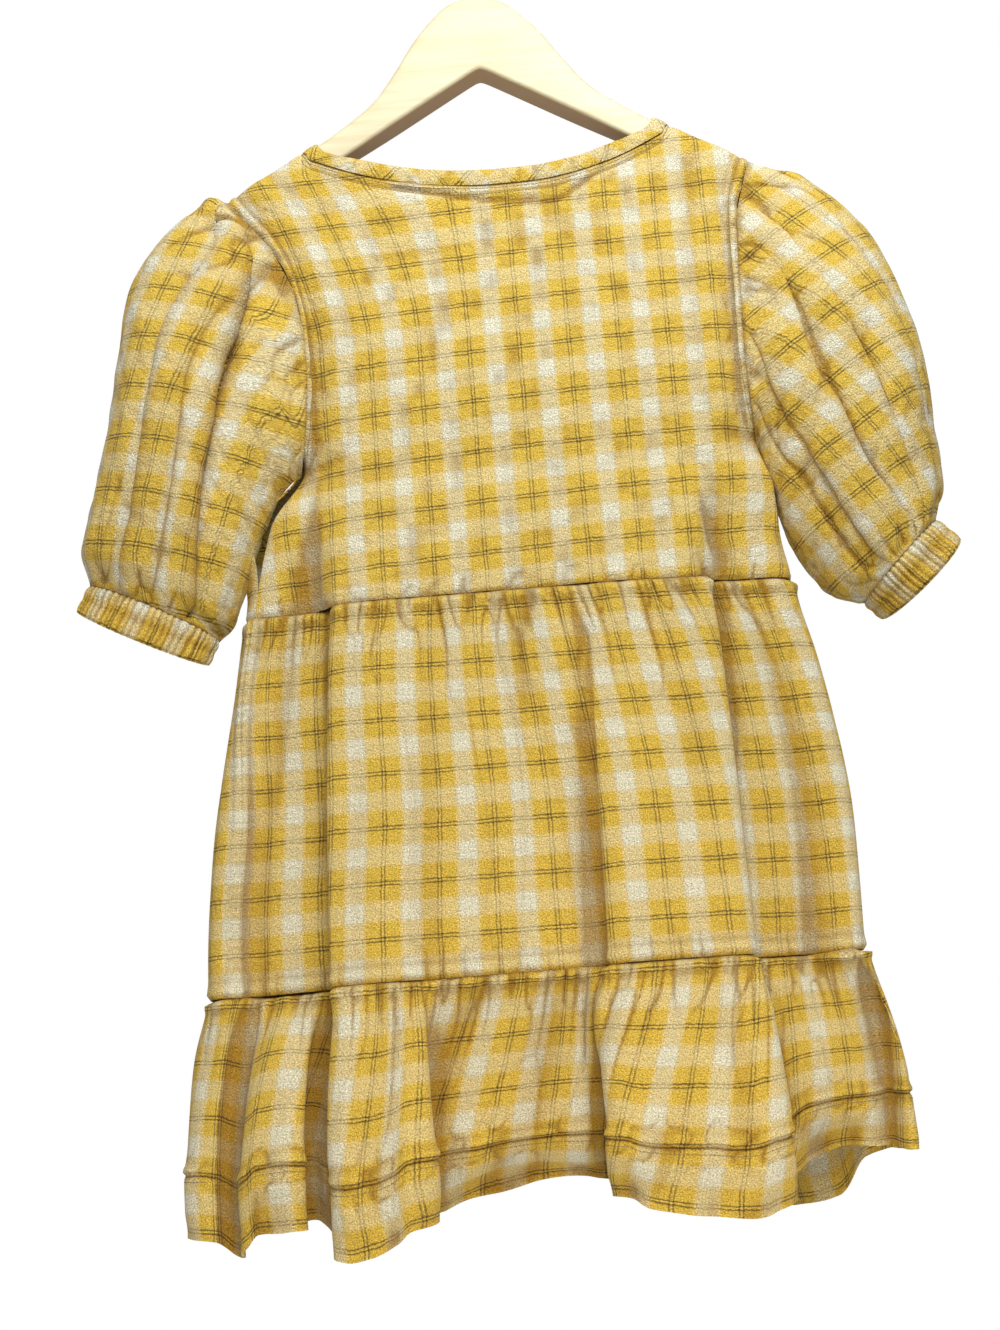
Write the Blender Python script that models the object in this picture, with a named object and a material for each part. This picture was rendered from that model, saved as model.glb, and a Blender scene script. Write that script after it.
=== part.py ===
"""Puff sleeve dress on a wooden hanger, hung flat from its hook.

Metres, +Z up. The origin is the inside top of the hook, where it hangs on a rail.
-Y is the side that the back of the dress faces, and +X is the right of that view.
Every cloth piece is a closed wall made from rows of points on its outer side.
"""
import math
from collections import namedtuple

import bmesh
import bpy
from mathutils import Vector

CLOTH = 0.0014
HEM_CLOTH = 0.0026
CUFF_CLOTH = 0.0024
HALF_SEAM = 0.00015
SEAM = 0.0003

# Heights of the seams, and how far out the shoulders end
NECK_POINT_Z = -0.1980
SHOULDER_END_Z = -0.2400
SHOULDER_END_X = 0.2025
ARMPIT_Z = -0.4640
WAIST_Z = -0.5750
TIER_Z = -0.8480
RUFFLE_LENGTH = 0.1720
HEM_DEPTH = 0.0450

# Neck
NECK_HALF_WIDTH = 0.1315
BACK_NECK_DROP = 0.0480
FRONT_NECK_DROP = 0.0880
# The power that squares the neck's curve, and how far its middle stands out from the shoulders
NECK_BOW_POWER = 2.2
NECK_BOW_OUT = 0.0040
NECK_TURN_WIDTH = 0.0700
# The slope of the cloth where the neck crosses the shoulder line
NECK_SLOPE = 0.85
BINDING_WIDTH = 0.0110
# How far the strip stands out at its seam, its middle and its edge, and how far in its lining lies
BINDING_CROWN = (0.00060, 0.00096, 0.00036)
BINDING_INSIDE = 0.0016
NECK_STEP = 0.0028
NECK_ROW = 0.0040

# Hanger
HANGER_HALF_LENGTH = 0.1930
HANGER_HALF_DEPTH = 0.0100
HANGER_APEX_Z = -0.1400
HANGER_APEX_ROUND = 0.0100
HANGER_UNDER_SLOPE = 0.586
HANGER_GAP = 0.0006
HANGER_TIP = 0.0060
HANGER_TIP_SIZE = 0.6
SHOULDER_SLOPE = (NECK_POINT_Z - SHOULDER_END_Z) / (SHOULDER_END_X - NECK_HALF_WIDTH)
HANGER_SHOULDER_Z = NECK_POINT_Z - CLOTH - HANGER_GAP
# The upper edge of the arms from the middle to the neck points, as across and height
Crown = namedtuple("Crown", "x z")
HANGER_CROWN = (
    Crown(-0.020, -0.0880),
    Crown(0.000, -0.0830),
    Crown(0.020, -0.0880),
    Crown(0.036, -0.0990),
    Crown(0.050, -0.1140),
    Crown(0.066, -0.1350),
    Crown(0.083, -0.1560),
    Crown(0.106, -0.1780),
    Crown(NECK_HALF_WIDTH, HANGER_SHOULDER_Z),
)
# The section of the arms, as a share of half the depth and a share of the height
Profile = namedtuple("Profile", "across up")
HANGER_PROFILE = (
    Profile(-0.35, 1.00),
    Profile(0.35, 1.00),
    Profile(0.75, 0.93),
    Profile(1.00, 0.70),
    Profile(1.00, 0.25),
    Profile(0.90, 0.06),
    Profile(0.60, 0.00),
    Profile(-0.60, 0.00),
    Profile(-0.90, 0.06),
    Profile(-1.00, 0.25),
    Profile(-1.00, 0.70),
    Profile(-0.75, 0.93),
)

# Hook
HOOK_WIRE_RADIUS = 0.0019
HOOK_BEND_RADIUS = 0.0199
HOOK_STEM_HOLE = 0.0120
HOOK_STEM_RISE = 0.0100
HOOK_STEM_CLEAR = 0.0010
HOOK_FOOT_DEGREES = -62
HOOK_TIP_DEGREES = 205
HOOK_NECK_STEPS = 6
HOOK_BEND_STEPS = 22

# How square the body's level sections are: 1 is an ellipse, less is squarer
SECTION_ROUND = 0.77
EDGE_FADE = 0.045

Level = namedtuple("Level", "z left right near far left_seam right_seam")
BODY_LEVELS = (
    Level(ARMPIT_Z, -0.158, 0.184, 0.034, 0.032, 0.000, 0.000),
    Level(-0.520, -0.176, 0.186, 0.037, 0.034, 0.004, 0.002),
    Level(WAIST_Z, -0.203, 0.191, 0.040, 0.038, 0.008, 0.004),
    Level(-0.640, -0.213, 0.208, 0.045, 0.043, 0.008, 0.008),
    Level(-0.727, -0.229, 0.218, 0.052, 0.048, 0.019, 0.010),
    Level(-0.790, -0.237, 0.220, 0.056, 0.052, 0.019, 0.012),
    Level(TIER_Z, -0.241, 0.218, 0.060, 0.056, 0.021, 0.012),
)
HEM_LEVEL = Level(TIER_Z - RUFFLE_LENGTH, -0.266, 0.240, 0.066, 0.064, 0.030, 0.014)

# A fold is a step of the cloth across the body, positive where the part to its right
# lies further out. Its place and step are given at the armpit, the waist and the tier seam.
Fold = namedtuple("Fold", "x_armpit x_waist x_tier s_armpit s_waist s_tier width overlap")
BACK_START = (0.000, -0.010, -0.028)
BACK_FOLDS = (
    Fold(-0.128, -0.138, -0.148, 0.000, 0.015, 0.032, 0.020, 0.006),
    Fold(-0.085, -0.090, -0.100, 0.000, -0.003, -0.013, 0.024, 0.000),
    Fold(0.050, 0.048, 0.036, 0.000, 0.004, 0.022, 0.020, 0.004),
    Fold(0.134, 0.134, 0.133, 0.000, -0.016, -0.040, 0.020, 0.006),
)
FRONT_START = (0.000, -0.008, -0.022)
FRONT_FOLDS = (
    Fold(-0.110, -0.116, -0.126, 0.000, 0.010, 0.028, 0.022, 0.004),
    Fold(-0.030, -0.034, -0.042, 0.000, -0.006, -0.020, 0.022, 0.003),
    Fold(0.060, 0.064, 0.072, 0.000, 0.008, 0.024, 0.022, 0.004),
    Fold(0.136, 0.140, 0.150, 0.000, -0.006, -0.016, 0.024, 0.002),
)

# The ruffle's flutes: steps across the body at the hem, as for the folds
Flute = namedtuple("Flute", "x step width overlap")
BACK_HEM_START = -0.006
BACK_FLUTES = (
    Flute(-0.242, -0.014, 0.010, 0.000),
    Flute(-0.226, 0.018, 0.012, 0.000),
    Flute(-0.181, -0.024, 0.014, 0.003),
    Flute(-0.162, 0.034, 0.014, 0.004),
    Flute(-0.098, -0.046, 0.020, 0.007),
    Flute(0.029, 0.048, 0.020, 0.007),
    Flute(0.145, -0.042, 0.020, 0.008),
)
FRONT_HEM_START = -0.010
FRONT_FLUTES = (
    Flute(-0.190, 0.022, 0.020, 0.003),
    Flute(-0.128, -0.032, 0.020, 0.004),
    Flute(-0.050, 0.036, 0.020, 0.005),
    Flute(0.018, -0.034, 0.020, 0.004),
    Flute(0.088, 0.034, 0.020, 0.004),
    Flute(0.160, -0.026, 0.020, 0.003),
)
# Across the back: how far the hem band curls in under itself, and how far the ruffle is hitched up
Curl = namedtuple("Curl", "x depth lift")
HEM_CURLS = (
    Curl(-0.270, 0.002, 0.010),
    Curl(-0.205, 0.010, 0.012),
    Curl(-0.165, 0.008, 0.018),
    Curl(-0.130, 0.005, 0.000),
    Curl(-0.092, 0.020, 0.010),
    Curl(-0.030, 0.028, 0.020),
    Curl(0.022, 0.026, 0.022),
    Curl(0.050, 0.011, 0.004),
    Curl(0.130, 0.011, 0.000),
    Curl(0.168, 0.020, 0.030),
    Curl(0.245, 0.012, 0.030),
)
FRONT_CURL = 0.010
FRONT_LIFT = 0.004
CURL_START = RUFFLE_LENGTH - 0.062

# The cloth over the hanger: distance from the crest, how far out and how far down it lies
Crest = namedtuple("Crest", "run out down")
CREST = (
    Crest(0.0000, 0.0000, 0.0000),
    Crest(0.0072, 0.0072, 0.0005),
    Crest(0.0141, 0.0128, 0.0045),
    Crest(0.0217, 0.0142, 0.0120),
    Crest(0.0260, 0.0143, 0.0163),
    Crest(0.0300, 0.0144, 0.0203),
    Crest(0.0340, 0.0145, 0.0243),
)
CREST_ROWS = 3

# Armhole edges from the shoulder end to the armpit, each place as across and depth
ARMHOLE_HEIGHTS = (SHOULDER_END_Z, -0.2405, -0.2445, -0.2520, -0.2850, -0.3205, -0.3565, -0.3920, -0.4280,
                   -0.4500, ARMPIT_Z)
Edge = namedtuple("Edge", "x y")
ARMHOLES = {
    "left_back": (
        Edge(-0.2025, 0.0000), Edge(-0.2018, -0.0072), Edge(-0.1998, -0.0128), Edge(-0.1950, -0.0142),
        Edge(-0.1700, -0.0170), Edge(-0.1545, -0.0195), Edge(-0.1480, -0.0220), Edge(-0.1470, -0.0235),
        Edge(-0.1500, -0.0220), Edge(-0.1535, -0.0150), Edge(-0.1580, 0.0000)),
    "left_front": (
        Edge(-0.2025, 0.0000), Edge(-0.2020, 0.0072), Edge(-0.2010, 0.0128), Edge(-0.1990, 0.0142),
        Edge(-0.1900, 0.0170), Edge(-0.1830, 0.0200), Edge(-0.1770, 0.0215), Edge(-0.1700, 0.0205),
        Edge(-0.1620, 0.0160), Edge(-0.1590, 0.0095), Edge(-0.1580, 0.0000)),
    "right_back": (
        Edge(0.2025, 0.0000), Edge(0.2018, -0.0072), Edge(0.2002, -0.0128), Edge(0.1965, -0.0142),
        Edge(0.1865, -0.0170), Edge(0.1835, -0.0195), Edge(0.1820, -0.0210), Edge(0.1805, -0.0205),
        Edge(0.1810, -0.0160), Edge(0.1825, -0.0095), Edge(0.1840, 0.0000)),
    "right_front": (
        Edge(0.2025, 0.0000), Edge(0.2018, 0.0072), Edge(0.2000, 0.0128), Edge(0.1960, 0.0142),
        Edge(0.1820, 0.0170), Edge(0.1750, 0.0200), Edge(0.1715, 0.0215), Edge(0.1715, 0.0215),
        Edge(0.1750, 0.0180), Edge(0.1795, 0.0110), Edge(0.1840, 0.0000)),
}

# Sleeve sections, from armhole (0) to cuff (1): the outer line, the inner line, half the depth
Section = namedtuple("Section", "t outer_x outer_z inner_x inner_z depth")
SLEEVES = {
    "left": (
        Section(0.00, -0.2025, -0.2400, -0.1580, -0.4640, 0.024),
        Section(0.07, -0.2260, -0.2490, -0.1660, -0.4710, 0.035),
        Section(0.18, -0.2530, -0.2720, -0.1750, -0.4820, 0.044),
        Section(0.32, -0.2730, -0.3060, -0.1840, -0.4990, 0.050),
        Section(0.48, -0.2840, -0.3560, -0.1920, -0.5190, 0.052),
        Section(0.64, -0.2940, -0.4070, -0.1990, -0.5400, 0.051),
        Section(0.79, -0.3050, -0.4600, -0.2060, -0.5600, 0.048),
        Section(0.91, -0.3140, -0.5050, -0.2140, -0.5770, 0.042),
        Section(1.00, -0.3160, -0.5400, -0.2260, -0.5850, 0.030)),
    "right": (
        Section(0.00, 0.2025, -0.2400, 0.1840, -0.4640, 0.024),
        Section(0.07, 0.2300, -0.2500, 0.1875, -0.4750, 0.036),
        Section(0.18, 0.2570, -0.2730, 0.1905, -0.4910, 0.046),
        Section(0.32, 0.2820, -0.3060, 0.1935, -0.5100, 0.053),
        Section(0.48, 0.3010, -0.3530, 0.1975, -0.5310, 0.056),
        Section(0.64, 0.3125, -0.4060, 0.2035, -0.5510, 0.056),
        Section(0.79, 0.3160, -0.4590, 0.2150, -0.5730, 0.053),
        Section(0.91, 0.3150, -0.5060, 0.2300, -0.5890, 0.049),
        Section(1.00, 0.3060, -0.5400, 0.2500, -0.5960, 0.042)),
}
# Long folds of a sleeve: the turn round it in degrees at head and cuff, its depth and width
LongFold = namedtuple("LongFold", "head cuff depth width")
SLEEVE_FOLDS = {
    "left": (
        LongFold(58, 72, 0.0090, 11), LongFold(96, 118, 0.0050, 12), LongFold(30, 34, 0.0035, 12),
        LongFold(262, 250, 0.0060, 12), LongFold(300, 296, 0.0050, 12)),
    "right": (
        LongFold(48, 36, 0.0050, 11), LongFold(70, 78, 0.0060, 11), LongFold(100, 128, 0.0060, 12),
        LongFold(258, 240, 0.0060, 12), LongFold(296, 300, 0.0050, 12)),
}
ARMHOLE_BLEND = 0.34
# Depth of the gathers, and the share of the sleeve's length over which they die away
HEAD_GATHER = 0.0022
HEAD_GATHER_REACH = 0.22
CUFF_GATHER = 0.0020
CUFF_GATHER_REACH = 0.16
GATHER_START = 0.03
FOLD_START = 0.12
CUFF_HEIGHT = 0.0180
CUFF_RIB = 0.0007
CUFF_PINCH = 0.0010

# Counts of columns and rows. Each pair of columns in a gathered tier is one gather.
SHOULDER_COLUMNS = 4
NECK_COLUMNS = 18
SIDE_ROWS = 3
MIDDLE_COLUMNS = {"back": 56, "front": 42}
MIDDLE_ROWS = 7
BOTTOM_COLUMNS = {"back": 66, "front": 46}
RUFFLE_ROWS = (0.0, 0.024, 0.060, 0.098, 0.127, 0.150, RUFFLE_LENGTH)
# How many of a sleeve's columns fall between each two heights of the armhole
ARMHOLE_SPLITS = (1, 1, 1, 3, 3, 3, 3, 3, 2, 2)
SLEEVE_COLUMNS = 2 * sum(ARMHOLE_SPLITS)
SLEEVE_ROWS = (0.0, 0.035, 0.09, 0.18, 0.30, 0.43, 0.57, 0.70, 0.82, 0.91, 0.965, 1.0)
CUFF_COLUMNS = 64
GATHER = 0.0019
MIDDLE_ROW_SPREAD = 1.35
# How strong the gathers are at a distance below their seam
GATHER_FADE = ((0.0, 0.35), (0.016, 1.0), (0.060, 0.55), (0.140, 0.20), (0.270, 0.0))
# The least share of its length that a strip of the ruffle drops
LEAST_DROP = 0.35

YELLOW_CHECK = (0.72, 0.47, 0.12)
PALE_WOOD = (0.86, 0.72, 0.45)
STEEL = (0.62, 0.62, 0.60)


def clear_scene():
    for thing in list(bpy.data.objects):
        bpy.data.objects.remove(thing, do_unlink=True)


def make_material(name, colour, roughness, metallic=0.0):
    material = bpy.data.materials.new(name)
    material.use_nodes = True
    shader = material.node_tree.nodes["Principled BSDF"]
    shader.inputs["Base Color"].default_value = (*colour, 1.0)
    shader.inputs["Roughness"].default_value = roughness
    shader.inputs["Metallic"].default_value = metallic
    material.diffuse_color = (*colour, 1.0)
    return material


def smooth(value):
    value = min(1.0, max(0.0, value))
    return value * value * (3.0 - 2.0 * value)


def mix(first, second, share):
    return first + (second - first) * share


def uneven(number):
    """A repeatable share between 0 and 1 for each whole number."""
    wave = math.sin(number * 12.9898 + 4.1) * 43758.5453
    return wave - math.floor(wave)


def along(points, at):
    """Read a smooth curve through (place, value) points, flat beyond its ends."""
    if at <= points[0][0]:
        return points[0][1]
    if at >= points[-1][0]:
        return points[-1][1]
    index = max(k for k in range(len(points) - 1) if points[k][0] <= at)

    def slope(k):
        low, high = max(0, k - 1), min(len(points) - 1, k + 1)
        return (points[high][1] - points[low][1]) / (points[high][0] - points[low][0])

    (x0, y0), (x1, y1) = points[index], points[index + 1]
    span = x1 - x0
    u = (at - x0) / span
    start = (1 + 2 * u) * (1 - u) ** 2 * y0 + u * (1 - u) ** 2 * span * slope(index)
    end = u * u * (3 - 2 * u) * y1 + u * u * (u - 1) * span * slope(index + 1)
    return start + end


def straight(points, at):
    """Read straight lines through (place, value) points."""
    for (x0, y0), (x1, y1) in zip(points, points[1:]):
        if at <= x1:
            return mix(y0, y1, (at - x0) / (x1 - x0))
    return points[-1][1]


def level_at(z):
    """The body's level section at a height, read from the table."""
    fields = Level._fields[1:]
    ordered = sorted(BODY_LEVELS)
    return Level(z, *(along([(row.z, getattr(row, field)) for row in ordered], z) for field in fields))


def signed_power(value, power):
    return math.copysign(abs(value) ** power, value)


def outline_point(level, turn):
    """A point of the plain section. Turn 0 is the left edge, pi/2 the middle of the back."""
    centre = (level.left + level.right) / 2
    half = (level.right - level.left) / 2
    x = centre - half * signed_power(math.cos(turn), SECTION_ROUND)
    depth = level.near if math.sin(turn) > 0 else level.far
    return x, -depth * signed_power(math.sin(turn), SECTION_ROUND)


def fold_shift(edges, start, x):
    """How far the steps up to this place move the cloth across and out."""
    across, out = 0.0, start
    for place, step, width, overlap in edges:
        u = (x - place) / width
        out += step * smooth(0.5 + u / 2)
        if abs(u) < 1.0:
            across -= overlap * math.sin(math.pi * u) * (1 - u * u)
    return across, out


def at_height(values, z):
    """Read a value given at the armpit, the waist and the tier seam."""
    return along(((TIER_Z, values[2]), (WAIST_Z, values[1]), (ARMPIT_Z, values[0])), z)


def folded_point(level, turn, edges, start):
    """A point of the section with its folds, which fade out at the side edges."""
    x, y = outline_point(level, turn)
    fade = smooth(min(x - level.left, level.right - x) / EDGE_FADE)
    across, out = fold_shift(edges, start, x)
    side = -1.0 if math.sin(turn) > 0 else 1.0
    return x + across * fade, y + side * out * fade


def body_edges(folds, z):
    edges = []
    strength = at_height((0.0, 0.5, 1.0), z)
    for fold in folds:
        x = at_height((fold.x_armpit, fold.x_waist, fold.x_tier), z)
        step = at_height((fold.s_armpit, fold.s_waist, fold.s_tier), z)
        edges.append((x, step, fold.width, fold.overlap * strength))
    return edges


def body_point(turn, z):
    """A point of the bodice or the middle tier at a turn round the body and a height."""
    near = math.sin(turn) > 0
    folds = BACK_FOLDS if near else FRONT_FOLDS
    start = at_height(BACK_START if near else FRONT_START, z)
    x, y = folded_point(level_at(z), turn, body_edges(folds, z), start)
    return Vector((x, y, z))


def seam_turns(level):
    """The turns at which the side seams lie: the left one on the back's side."""
    half = (level.right - level.left) / 2
    left = math.acos((1 - level.left_seam / half) ** (1 / SECTION_ROUND))
    right = math.pi + math.acos((1 - level.right_seam / half) ** (1 / SECTION_ROUND))
    return left, right


def panel_turn(side, share, level):
    """The turn at a share of a panel's width, left to right as seen from behind for both."""
    left, right = seam_turns(level)
    if side == "back":
        return mix(left, right, share)
    return mix(left + 2 * math.pi, right, share)


def even_shares(side, point_at, level, count):
    """Shares of a panel's width that divide its cloth evenly at one level."""
    steps = 600
    lengths = [0.0]
    last = point_at(panel_turn(side, 0.0, level))
    for k in range(1, steps + 1):
        point = point_at(panel_turn(side, k / steps, level))
        lengths.append(lengths[-1] + (point - last).length)
        last = point
    shares, k = [], 0
    for column in range(count + 1):
        wanted = lengths[-1] * column / count
        while k < steps - 1 and lengths[k + 1] < wanted:
            k += 1
        shares.append((k + (wanted - lengths[k]) / (lengths[k + 1] - lengths[k])) / steps)
    return shares


def level_normal(point_at, turn):
    """The outward direction of a section at a turn, level with the floor."""
    small = 0.004
    step = point_at(turn + small) - point_at(turn - small)
    return Vector((step.y, -step.x, 0.0)).normalized()


def cloth_wall(name, outer, inner, closed):
    """A closed solid between two grids of points, joined along their rims."""
    rows, columns = len(outer), len(outer[0])
    wall = bmesh.new()
    skins = [[[wall.verts.new(point) for point in row] for row in grid] for grid in (outer, inner)]
    ends = columns if closed else columns - 1
    for r in range(rows - 1):
        for c in range(ends):
            d = (c + 1) % columns
            for skin in skins:
                wall.faces.new((skin[r][c], skin[r][d], skin[r + 1][d], skin[r + 1][c]))
    first, second = skins
    for c in range(ends):
        d = (c + 1) % columns
        for r in (0, rows - 1):
            wall.faces.new((first[r][c], first[r][d], second[r][d], second[r][c]))
    if not closed:
        for r in range(rows - 1):
            for c in (0, columns - 1):
                wall.faces.new((first[r][c], first[r + 1][c], second[r + 1][c], second[r][c]))
    return finish(name, wall)


def finish(name, shape, crease=50):
    """Make a closed shape an object, in triangles that face outwards."""
    bmesh.ops.recalc_face_normals(shape, faces=shape.faces)
    bmesh.ops.triangulate(shape, faces=shape.faces)
    if shape.calc_volume(signed=True) < 0:
        bmesh.ops.reverse_faces(shape, faces=shape.faces)
    mesh = bpy.data.meshes.new(name)
    shape.to_mesh(mesh)
    shape.free()
    mesh.shade_smooth()
    mesh.set_sharp_from_angle(angle=math.radians(crease))
    piece = bpy.data.objects.new(name, mesh)
    bpy.context.scene.collection.objects.link(piece)
    return piece


def offset_grid(outer, normals, thickness):
    """The inner points of a wall, each row with its own thickness."""
    grid = []
    for points, directions, depth in zip(outer, normals, thickness):
        grid.append([point - direction * depth for point, direction in zip(points, directions)])
    return grid


def grid_normals(outer, closed, facing):
    """Directions square to a grid, on the side that facing gives for each point."""
    rows, columns = len(outer), len(outer[0])
    normals = []
    for r in range(rows):
        line = []
        for c in range(columns):
            before = outer[r][(c - 1) % columns if closed else max(0, c - 1)]
            after = outer[r][(c + 1) % columns if closed else min(columns - 1, c + 1)]
            down = outer[min(rows - 1, r + 1)][c] - outer[max(0, r - 1)][c]
            normal = (after - before).cross(down).normalized()
            line.append(normal if normal.dot(facing(r, c)) > 0 else -normal)
        normals.append(line)
    return normals


def hanger_top(x):
    """The height of the hanger's upper edge: a crown, a steep neck and straight shoulders."""
    x = abs(x)
    if x >= NECK_HALF_WIDTH:
        return HANGER_SHOULDER_Z - SHOULDER_SLOPE * (x - NECK_HALF_WIDTH)
    return along(HANGER_CROWN, x)


def crest_z(x):
    """The height of the cloth's outer side on the shoulder line, square to the hanger's slope."""
    reach = 0.002
    slope = (hanger_top(abs(x) + reach) - hanger_top(abs(x) - reach)) / (2 * reach)
    return hanger_top(x) + (CLOTH + HANGER_GAP) * math.hypot(1.0, slope)


def over_hanger(x, run, sign):
    """The cloth's outer side at a distance down from the crest, on one side of the hanger."""
    out = straight([(row.run, row.out) for row in CREST], run)
    down = straight([(row.run, row.down) for row in CREST], run)
    return Vector((x, sign * max(out, HALF_SEAM), crest_z(x) - down))


def neck_edge(side):
    """Points, outward directions and ways to the free edge along one half of the neck seam."""
    sign = -1.0 if side == "back" else 1.0
    drop = BACK_NECK_DROP if side == "back" else FRONT_NECK_DROP
    tilts = (0, 22, 60, 90)
    slopes = [NECK_SLOPE] * CREST_ROWS + [SHOULDER_SLOPE]
    edge = []
    corner = over_hanger(NECK_HALF_WIDTH - CREST_ROWS * NECK_STEP, CREST[CREST_ROWS].run, sign)
    for c in range(NECK_COLUMNS + 1):
        crossing = min(c, NECK_COLUMNS - c, CREST_ROWS)
        hand = -1.0 if c < NECK_COLUMNS / 2 else 1.0
        if crossing < CREST_ROWS:
            point = over_hanger(hand * (NECK_HALF_WIDTH - crossing * NECK_STEP), CREST[crossing].run, sign)
        else:
            share = (c - CREST_ROWS) / (NECK_COLUMNS - 2 * CREST_ROWS)
            x = -corner.x * math.cos(math.pi * share)
            bow = 1 - abs(x / corner.x) ** NECK_BOW_POWER
            low = NECK_POINT_Z - drop
            point = Vector((x, corner.y + sign * NECK_BOW_OUT * bow, mix(corner.z, low, bow)))
        slant = math.atan(slopes[crossing])
        up = Vector((hand * math.sin(slant), 0.0, math.cos(slant)))
        tilt = math.radians(tilts[crossing])
        out = up * math.cos(tilt) + Vector((0.0, sign, 0.0)) * math.sin(tilt)
        lift = mix(slant, math.pi / 2, smooth((corner.x - abs(point.x)) / NECK_TURN_WIDTH))
        edge.append((point, out, Vector((-hand * math.cos(lift), 0.0, math.sin(lift)))))
    return edge


def armhole_point(name, z):
    """A point of an armhole edge, on straight runs between its rows."""
    rows = ARMHOLES[name]
    heights = [-height for height in ARMHOLE_HEIGHTS]
    x = straight(list(zip(heights, [row.x for row in rows])), -z)
    y = straight(list(zip(heights, [row.y for row in rows])), -z)
    return Vector((x, y, z))


def rim_direction(side, row, armpit):
    """The way a wall's thickness faces on the armhole edge, from the crest to the armpit."""
    sign = -1.0 if side == "back" else 1.0
    crest = (Vector((0, 0, 1)), Vector((0, 0.38 * sign, 0.92)), Vector((0, 0.86 * sign, 0.50)))
    if row < len(crest):
        return crest[row].normalized()
    last = len(ARMHOLE_HEIGHTS) - 1
    share = (0.0, 0.5, 1.0)[max(0, row - last + 2)]
    return Vector((0, sign, 0)).lerp(armpit, share).normalized()


def bodice_top(side):
    """The top edge of a bodice panel: shoulder, neck and shoulder, left to right."""
    sign = -1.0 if side == "back" else 1.0
    top = []
    for c in range(SHOULDER_COLUMNS):
        x = -mix(SHOULDER_END_X, NECK_HALF_WIDTH, c / SHOULDER_COLUMNS)
        top.append(over_hanger(x, 0.0, sign))
    middle = [point - inward * HALF_SEAM for point, out, inward in neck_edge(side)]
    right = [Vector((-point.x, point.y, point.z)) for point in reversed(top)]
    return top + middle + right


def bodice_rows(side):
    """The outer points of a bodice panel and their outward directions, top to waist."""
    sign = -1.0 if side == "back" else 1.0
    top = bodice_top(side)
    last = len(top) - 1
    armpit = level_at(ARMPIT_Z)
    shares = even_shares(side, lambda turn: body_point(turn, ARMPIT_Z), armpit, last)
    low = [body_point(panel_turn(side, share, armpit), ARMPIT_Z) for share in shares]
    outer = [top]
    for r, height in enumerate(ARMHOLE_HEIGHTS[1:], 1):
        left = armhole_point("left_" + side, height)
        right = armhole_point("right_" + side, height)
        share = max(0.0, (height - ARMHOLE_HEIGHTS[CREST_ROWS]) / (ARMPIT_Z - ARMHOLE_HEIGHTS[CREST_ROWS]))
        row = []
        for c, point in enumerate(top):
            beyond = max(0.0, (abs(point.x) - NECK_HALF_WIDTH) / (top[last].x - NECK_HALF_WIDTH))
            pulled = point.x + ((left.x - top[0].x) if point.x < 0 else (right.x - top[last].x)) * beyond
            spread = mix(left.x, right.x, (low[c].x - low[0].x) / (low[last].x - low[0].x))
            x = mix(pulled, spread, smooth(share))
            crossing = min(max(0, min(c, last - c) - SHOULDER_COLUMNS), CREST_ROWS + 1)
            if crossing <= CREST_ROWS:
                place = over_hanger(x, CREST[crossing + min(r, CREST_ROWS)].run, sign)
            else:
                place = Vector((x, point.y, point.z - NECK_ROW * min(r, CREST_ROWS)))
            if r > CREST_ROWS:
                y = mix(place.y, low[c].y, smooth(share))
                beside = max(0.0, 1 - min(c, last - c) / 4) ** 2
                place = Vector((x, mix(y, (left if c < last / 2 else right).y, beside), 0.0))
                place.z = mix(outer[CREST_ROWS][c].z, ARMPIT_Z, share)
            row.append(place)
        row[0], row[last] = left, right
        outer.append(row)
    normals = grid_normals(outer, False, lambda r, c: Vector((0.0, sign, 0.3)))
    armpits = [level_normal(lambda turn: body_point(turn, ARMPIT_Z), turn) for turn in seam_turns(armpit)]
    for r in range(len(outer)):
        for c, direction in ((0, armpits[0]), (last, armpits[1])):
            normals[r][c] = rim_direction(side, r, direction)
    for c in range(1, last):
        normals[0][c] = Vector((normals[0][c].x, 0.0, normals[0][c].z)).normalized()
        turn = panel_turn(side, shares[c], armpit)
        normals[-1][c] = level_normal(lambda turn: body_point(turn, ARMPIT_Z), turn)
    for c, (point, out, inward) in enumerate(neck_edge(side)):
        normals[0][SHOULDER_COLUMNS + c] = out
    for k in range(1, SIDE_ROWS + 1):
        z = mix(ARMPIT_Z, WAIST_Z + HALF_SEAM, k / SIDE_ROWS)
        level = level_at(z)
        turns = [panel_turn(side, share, level) for share in shares]
        outer.append([body_point(turn, z) for turn in turns])
        normals.append([level_normal(lambda turn: body_point(turn, z), turn) for turn in turns])
    part_seam(outer, normals, len(ARMHOLE_HEIGHTS) - 1)
    return outer, normals


def part_seam(outer, normals, first=0):
    """Draw a panel's side edges back from the seam, so that two panels stay apart."""
    for r in range(first, len(outer)):
        for c, beside in ((0, 1), (-1, -2)):
            way = outer[r][beside] - outer[r][c]
            way -= normals[r][c] * way.dot(normals[r][c])
            outer[r][c] = outer[r][c] + way.normalized() * HALF_SEAM


def bodice(side):
    outer, normals = bodice_rows(side)
    inner = offset_grid(outer, normals, [CLOTH] * len(outer))
    return cloth_wall(side + "_bodice", outer, inner, False)


def gathered(outer, normals, depths):
    """Push every second column out and the others in, each by its own share."""
    last = len(outer[0]) - 1
    for row, directions, depth in zip(outer, normals, depths):
        strength = GATHER * along(GATHER_FADE, depth)
        for c in range(1, last):
            hand = 1 if c % 2 else -1
            fade = smooth(min(c, last - c) / 3)
            row[c] = row[c] + directions[c] * hand * strength * mix(0.45, 1.0, uneven(c)) * fade


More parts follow.
